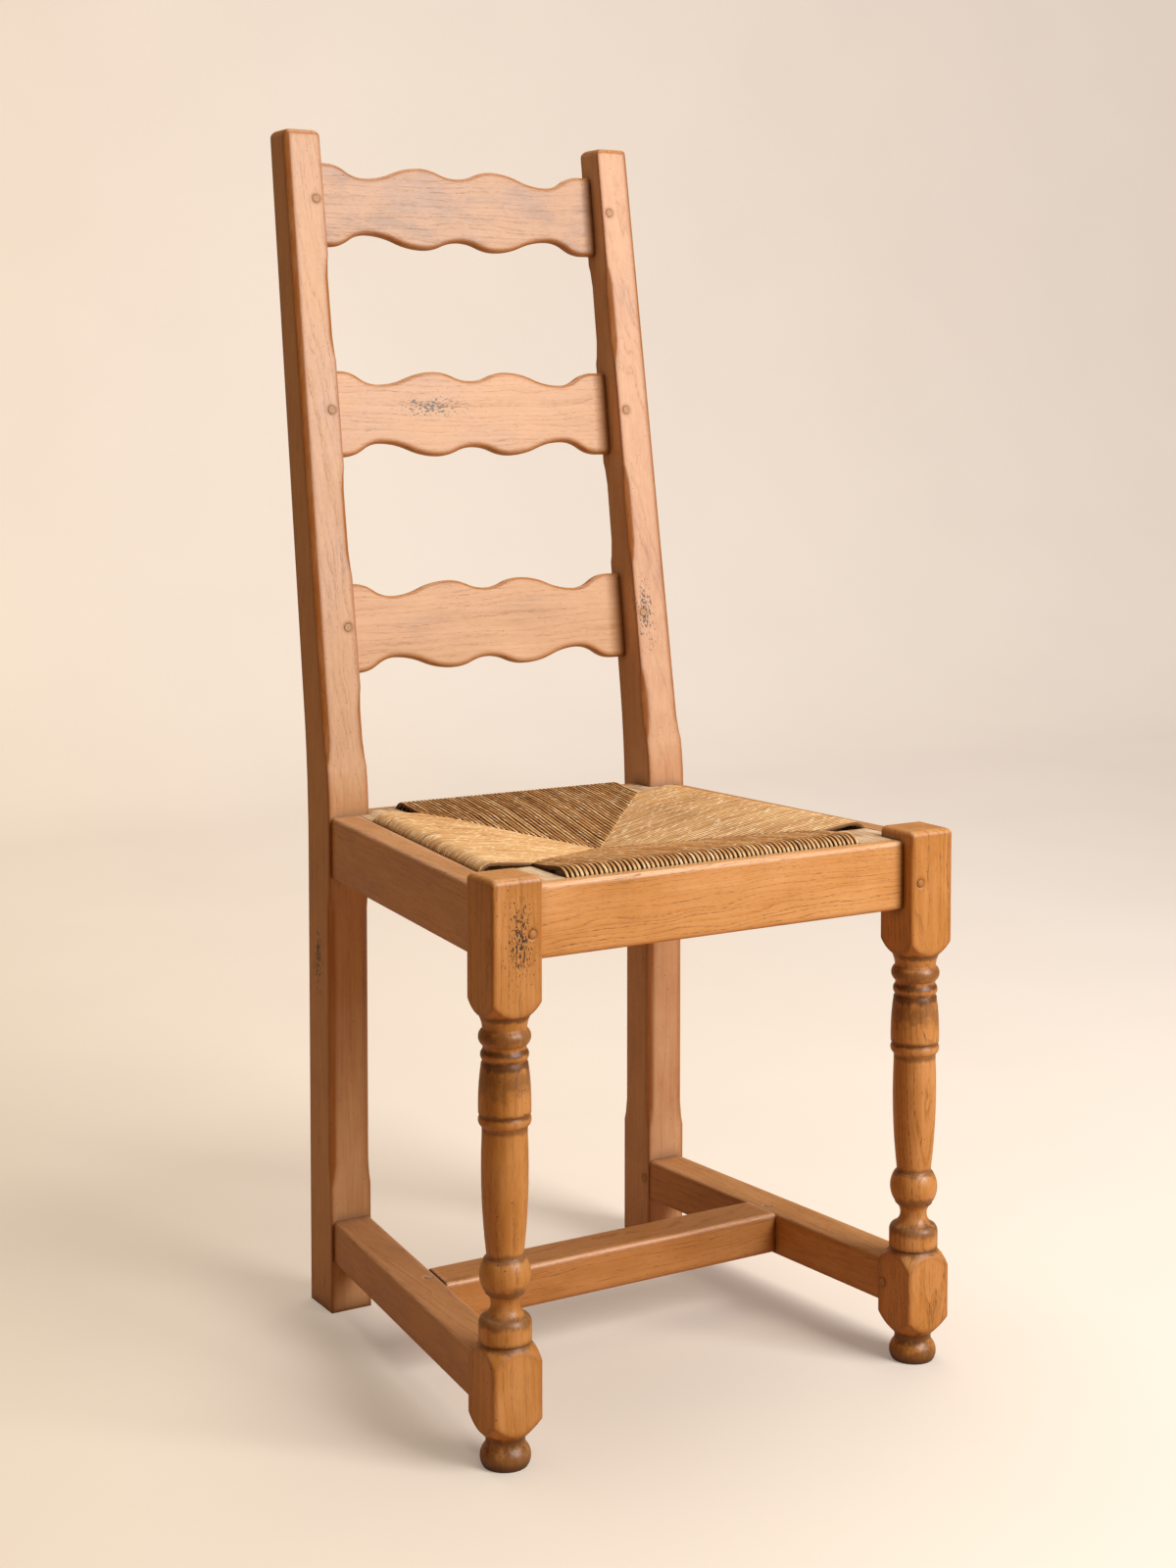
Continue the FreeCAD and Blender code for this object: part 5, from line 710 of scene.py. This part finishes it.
# %% Wind the four fields
def wind_field(name, strands):
    """strands: list of (points as Vector, radius, thickness factors). Returns a mesh object."""
    curve = bpy.data.curves.new(name, "CURVE")
    curve.dimensions = "3D"
    curve.bevel_depth = 1.0
    curve.bevel_resolution = 2
    curve.use_fill_caps = False
    for points, radius, swell in strands:
        spline = curve.splines.new("POLY")
        spline.points.add(len(points) - 1)
        for point, where, factor in zip(spline.points, points, swell):
            point.co = (where.x, where.y, where.z, 1.0)
            point.radius = radius * factor * MM
    holder = bpy.data.objects.new(name + "_line", curve)
    bpy.context.scene.collection.objects.link(holder)
    bpy.context.view_layer.update()
    tubes = holder.evaluated_get(bpy.context.evaluated_depsgraph_get())
    mesh = bpy.data.meshes.new_from_object(tubes)
    bpy.data.objects.remove(holder)
    bpy.data.curves.remove(curve)
    mesh.name = name
    around = len(mesh.vertices) // sum(len(s[0]) for s in strands)
    tone = mesh.attributes.new("strand_tone", "FLOAT", "POINT")
    along = mesh.attributes.new("strand_length", "FLOAT", "POINT")
    chance = random.Random(name)
    index = 0
    for points, _, _ in strands:
        shade, travelled, before = chance.random(), 0.0, points[0]
        for where in points:
            travelled += (where - before).length * 1000
            before = where
            for _ in range(around):
                tone.data[index].value = shade
                along.data[index].value = travelled
                index += 1
    shell = bmesh.new()
    shell.from_mesh(mesh)
    bmesh.ops.holes_fill(shell, edges=[e for e in shell.edges if e.is_boundary], sides=0)
    bmesh.ops.recalc_face_normals(shell, faces=shell.faces)
    shell.to_mesh(mesh)
    shell.free()
    for face in mesh.polygons:
        face.use_smooth = True
    object_ = bpy.data.objects.new(name, mesh)
    bpy.context.scene.collection.objects.link(object_)
    print(name, len(strands), "strands,", around, "sides,", len(mesh.polygons), "faces")
    return object_


print("winding ready")

# %% Lay the strands of the four fields
SWAY, DRIFT, DRIFT_RUN = 0.22, 0.35, 90  # a strand's wobble, and its slow drift sideways
TUCKED_THICKNESS = 0.55  # of a strand's end, where it dives under


def lay_strand(line, start, drift, seed, put):
    """A strand's (inward, height) line as points of the seat, in metres. put makes a point from
    the place along the bar, the way inward and the height."""
    points = []
    for inward, height in line:
        sway = SWAY * noise.noise(Vector((seed, inward / 24, height / 9)))
        along_bar = start + sway + drift * min(1.0, inward / DRIFT_RUN)
        points.append(put(along_bar, inward, height) * MM)
    return points


def thickness(count, amount, seed, layer):
    """How thick a strand is at each of its points: it changes by noise, and its end is thin."""
    swell = [1.0 + amount * noise.noise(Vector((seed, n * 0.55, layer))) for n in range(count)]
    swell[0] = TUCKED_THICKNESS
    return swell


def end_field(name, edge, corner, half, count):
    """Strands over the front or back bar: they run from the edge towards the middle."""
    chance = random.Random(name)
    sign = 1.0 if edge < 0 else -1.0
    centre = abs(MIDDLE_Y - edge)
    pitch = 2 * half / count
    strands = []
    for i in range(count):
        x = -half + pitch * (i + 0.5) + chance.uniform(-0.22, 0.22)
        reach = abs(corner - edge) + (half - abs(x)) * abs(MIDDLE_Y - corner) / half
        radius = pitch / 2 * chance.uniform(0.82, 0.95)
        drift = chance.uniform(-DRIFT, DRIFT)
        line = strand_line(reach, centre, radius, chance.uniform(1.2, 3.0), 0.9, chance)
        points = lay_strand(line, x, drift, i * 3.7,
                            lambda along, inward, height: Vector((along, edge + sign * inward, height)))
        strands.append((points, radius, thickness(len(points), 0.10, i * 9.1, 2.0)))
    return wind_field(name, strands)


def side_field(name, side):
    """Strands over the left or right bar: they run across the seat, shorter towards the corners."""
    chance = random.Random(name)
    pitch = (BACK_CORNER - FRONT_CORNER) / SIDE_STRANDS
    strands = []
    for i in range(SIDE_STRANDS):
        y = FRONT_CORNER + pitch * (i + 0.5) + chance.uniform(-0.2, 0.2)
        edge = seat_half_width(y)
        if y < MIDDLE_Y:
            inner = FRONT_HALF * (MIDDLE_Y - y) / (MIDDLE_Y - FRONT_CORNER)
        else:
            inner = BACK_HALF * (y - MIDDLE_Y) / (BACK_CORNER - MIDDLE_Y)
        radius = pitch / 2 * chance.uniform(0.88, 0.98)
        line = strand_line(edge - inner, edge, radius, chance.uniform(0.6, 1.6), 0.0, chance)
        drift = chance.uniform(-DRIFT, DRIFT)
        points = lay_strand(line, y, drift, i * 5.3,
                            lambda along, inward, height: Vector((side * (edge - inward), along, height)))
        strands.append((points, radius, thickness(len(points), 0.08, i * 7.7, 5.0)))
    return wind_field(name, strands)


rush_front = end_field("rush_front_field", SEAT_FRONT, FRONT_CORNER, FRONT_HALF, FRONT_STRANDS)
rush_back = end_field("rush_back_field", SEAT_BACK, BACK_CORNER, BACK_HALF, BACK_STRANDS)
rush_left = side_field("rush_left_field", -1.0)
rush_right = side_field("rush_right_field", 1.0)

# %% [markdown]
# Dry rush is golden brown. The end fields get a darker copy of it and the side fields a paler
# one: painted shade and sheen, as the light rakes across the end strands and runs along
# the side ones; the cord over the front bar gets a painted highlight. A strand is
# two or three twisted leaves, so fine fibres wind along it at a slight angle. The
# angle round the strand comes from the tube's own UV map, and the twist adds to it
# with the length along the strand. The gaps get a painted shade, as light does not
# reach them.

# %% Rush finish
def rush_finish(name, across, dark, mid, pale, gap_shade_colour):
    """Twisted rush. across is the axis from one strand to the next, where the gaps are."""
    material, tree, shader = start_material(name)
    place = add(tree, "TexCoord")
    round_it = add(tree, "SeparateXYZ", {}, {"Vector": place.outputs["UV"]})
    tone = add(tree, "Attribute", {"attribute_name": "strand_tone"}).outputs["Fac"]
    along = add(tree, "Attribute", {"attribute_name": "strand_length"}).outputs["Fac"]
    # Fibres turn once round the strand in 34 mm; each is about 1 mm wide.
    turn = add(tree, "Math", TIMES_PLUS, {0: along, 1: 1 / 34, 2: round_it.outputs["Y"]})
    angle = add(tree, "Math", TIMES, {0: turn, 1: 2 * math.pi})
    cosine = add(tree, "Math", {"operation": "COSINE"}, {0: angle})
    sine = add(tree, "Math", {"operation": "SINE"}, {0: angle})
    # Each strand starts at another place of the noise, and its leaves change every 26 mm or so.
    shifted = add(tree, "Math", TIMES, {0: tone, 1: 57.0})
    slow = add(tree, "Math", TIMES_PLUS, {0: along, 1: 1 / 26, 2: shifted})
    fibre_place = add(tree, "CombineXYZ", {}, {"X": cosine, "Y": sine, "Z": slow})
    fibre = add(tree, "TexNoise", {},
                {"Vector": fibre_place, "Scale": 1.9, "Detail": 4.0, "Roughness": 0.7})
    leaf = add(tree, "TexNoise", {"noise_dimensions": "1D"}, {"W": slow, "Scale": 0.8, "Detail": 2.0})
    # Across the seat the colour drifts in clouds of about 60 mm.
    wide = add(tree, "TexNoise", {}, {"Vector": place.outputs["Object"], "Scale": 16.0, "Detail": 3.0})
    by_strand = add(tree, "Math", TIMES_PLUS, {0: tone, 1: 0.34, 2: -0.42})
    by_fibre = add(tree, "Math", TIMES_PLUS, {0: fibre, 1: 0.62, 2: by_strand})
    by_leaf = add(tree, "Math", TIMES_PLUS, {0: leaf, 1: 0.52, 2: by_fibre})
    level = add(tree, "Math", TIMES_PLUS, {0: wide, 1: 0.42, 2: by_leaf})
    colour = add(tree, "ValToRGB",
                 {"stops": [(0.10, paint(dark)), (0.46, paint(mid)), (0.86, paint(pale))]},
                 {"Fac": level})
    # Faces that turn to the front get a painted highlight, so the cord over the front bar looks pale.
    geometry = add(tree, "NewGeometry")
    normal = add(tree, "SeparateXYZ", {}, {"Vector": geometry.outputs["Normal"]})
    front_highlight_mask = add(tree, "MapRange", SMOOTH,
                  {"Value": normal.outputs["Y"], "From Min": -0.45, "From Max": -0.9,
                   "To Min": 0.0, "To Max": 0.75})
    front_lit_colour = add(tree, "Mix", BLEND, {"Factor": front_highlight_mask, 6: colour, 7: paint("#e9cc96")})
    # Pale broken fibres, a few centimetres long, here and there: their own colour with a painted glint on
    # top.
    split_along = add(tree, "Math", TIMES_PLUS, {0: along, 1: 1 / 28, 2: shifted})
    split_place = add(tree, "CombineXYZ", {}, {"X": cosine, "Y": sine, "Z": split_along})
    split = add(tree, "TexNoise", {}, {"Vector": split_place, "Scale": 1.1, "Detail": 1.0})
    fleck = add(tree, "MapRange", SMOOTH,
                {"Value": split, "From Min": 0.59, "From Max": 0.65, "To Min": 0.0, "To Max": 0.7})
    flecked = add(tree, "Mix", BLEND, {"Factor": fleck, 6: front_lit_colour, 7: paint("#fbe9c6")})
    # The flanks of each strand and the gaps between strands get a painted shade, where the neighbours
    # keep the light out.
    flank = add(tree, "Math", {"operation": "ABSOLUTE"}, {0: normal.outputs[across]})
    side_shade = add(tree, "MapRange", SMOOTH,
                     {"Value": flank, "From Min": 0.42, "From Max": 0.88,
                      "To Min": 0.0, "To Max": 0.95})
    hollow = add(tree, "AmbientOcclusion", {"samples": 6}, {"Distance": 6 * MM})
    gap_shade = add(tree, "MapRange", SMOOTH,
                    {"Value": hollow.outputs["AO"], "From Min": 0.30, "From Max": 0.80,
                     "To Min": 1.0, "To Max": 0.0})
    deep = add(tree, "Math", LARGER, {0: side_shade, 1: gap_shade})
    gapped = add(tree, "Mix", BLEND, {"Factor": deep, 6: flecked, 7: paint(gap_shade_colour)})
    tree.links.new(gapped.outputs[2], shader.inputs["Base Color"])
    # Dry leaves have a soft sheen on their ridges and none in between.
    gloss = add(tree, "MapRange", {}, {"Value": fibre, "To Min": 0.42, "To Max": 0.66})
    tree.links.new(gloss.outputs["Result"], shader.inputs["Roughness"])
    shader.inputs["IOR"].default_value = 1.45
    bump = add(tree, "Bump", {}, {"Height": fibre, "Strength": 0.8, "Distance": 0.5 * MM})
    tree.links.new(bump.outputs["Normal"], shader.inputs["Normal"])
    return material


# One cord in two colours: the brown end fields carry a painted shade, the straw side fields a painted
# sheen.
rush_ends = rush_finish("twisted_rush_brown", "X", "#7a4b1e", "#bd874c", "#e8bd85", "#3a200c")
rush_sides = rush_finish("twisted_rush_straw", "Y", "#96682f", "#d0a068", "#ecca96", "#6a4420")
for field, finish in ((rush_front, rush_ends), (rush_back, rush_ends),
                      (rush_left, rush_sides), (rush_right, rush_sides)):
    dress(field, finish)
    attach(field, "drop_in_seat")
    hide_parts("rush_weave")
print("rush finished")

# %% [markdown]
# ## The stuffing
#
# Short ends of rush are pushed between the two layers as the seat grows, so it stays
# firm. Nobody sees them on the finished chair, but someone who takes the seat apart
# does. Each pad is a lumpy version of the space it fills: a remeshed copy, pushed in
# and out by noise.

# %% Rush offcuts between the layers
VOXEL, DENT = 2.6 * MM, 0.9 * MM  # size of the even mesh's cells, and how deep the dents are


def make_stuffing():
    copy = bmesh.new()
    copy.from_mesh(nodes["rush_stuffing"].data)
    bmesh.ops.remove_doubles(copy, verts=copy.verts, dist=1e-5)
    data = bpy.data.meshes.new("rush_stuffing_pads")
    copy.to_mesh(data)
    copy.free()
    object_ = bpy.data.objects.new("rush_stuffing_pads", data)
    bpy.context.scene.collection.objects.link(object_)
    remesh = object_.modifiers.new("even_mesh", "REMESH")
    remesh.mode = "VOXEL"
    remesh.voxel_size = VOXEL
    bpy.context.view_layer.update()
    evened = object_.evaluated_get(bpy.context.evaluated_depsgraph_get())
    lumpy = bpy.data.meshes.new_from_object(evened)
    object_.modifiers.clear()
    shell = bmesh.new()
    shell.from_mesh(lumpy)
    for _ in range(2):
        bmesh.ops.smooth_vert(shell, verts=shell.verts, factor=0.5,
                              use_axis_x=True, use_axis_y=True, use_axis_z=True)
    shell.normal_update()
    for vertex in shell.verts:
        depth = 0.35 + 0.65 * noise.noise(vertex.co * 180) ** 2
        vertex.co -= vertex.normal * depth * DENT
    shell.to_mesh(lumpy)
    shell.free()
    for face in lumpy.polygons:
        face.use_smooth = True
    object_.data = lumpy
    print("stuffing faces:", len(lumpy.polygons))
    return object_


stuffing = make_stuffing()
offcuts, tree, shader = start_material("chopped_rush_offcuts")
place = add(tree, "TexCoord").outputs["Object"]
chop = add(tree, "TexVoronoi", {"feature": "F1"}, {"Vector": place, "Scale": 220.0})
straw = add(tree, "TexNoise", links={"Vector": place, "Scale": 420.0, "Detail": 4.0, "Roughness": 0.75})
mixed = add(tree, "Math", TIMES_PLUS, {0: chop, 1: 0.6, 2: straw})
tone = add(tree, "ValToRGB",
           {"stops": [(0.45, paint("#6b4a22")), (0.75, paint("#b58d52")), (1.0, paint("#dcbb80"))]},
           {"Fac": mixed})
tree.links.new(tone.outputs["Color"], shader.inputs["Base Color"])
shader.inputs["Roughness"].default_value = 0.85
bump = add(tree, "Bump", links={"Height": mixed, "Strength": 1.0, "Distance": 1.2 * MM})
tree.links.new(bump.outputs["Normal"], shader.inputs["Normal"])
dress(stuffing, offcuts)
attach(stuffing, "drop_in_seat")
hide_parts("rush_stuffing")
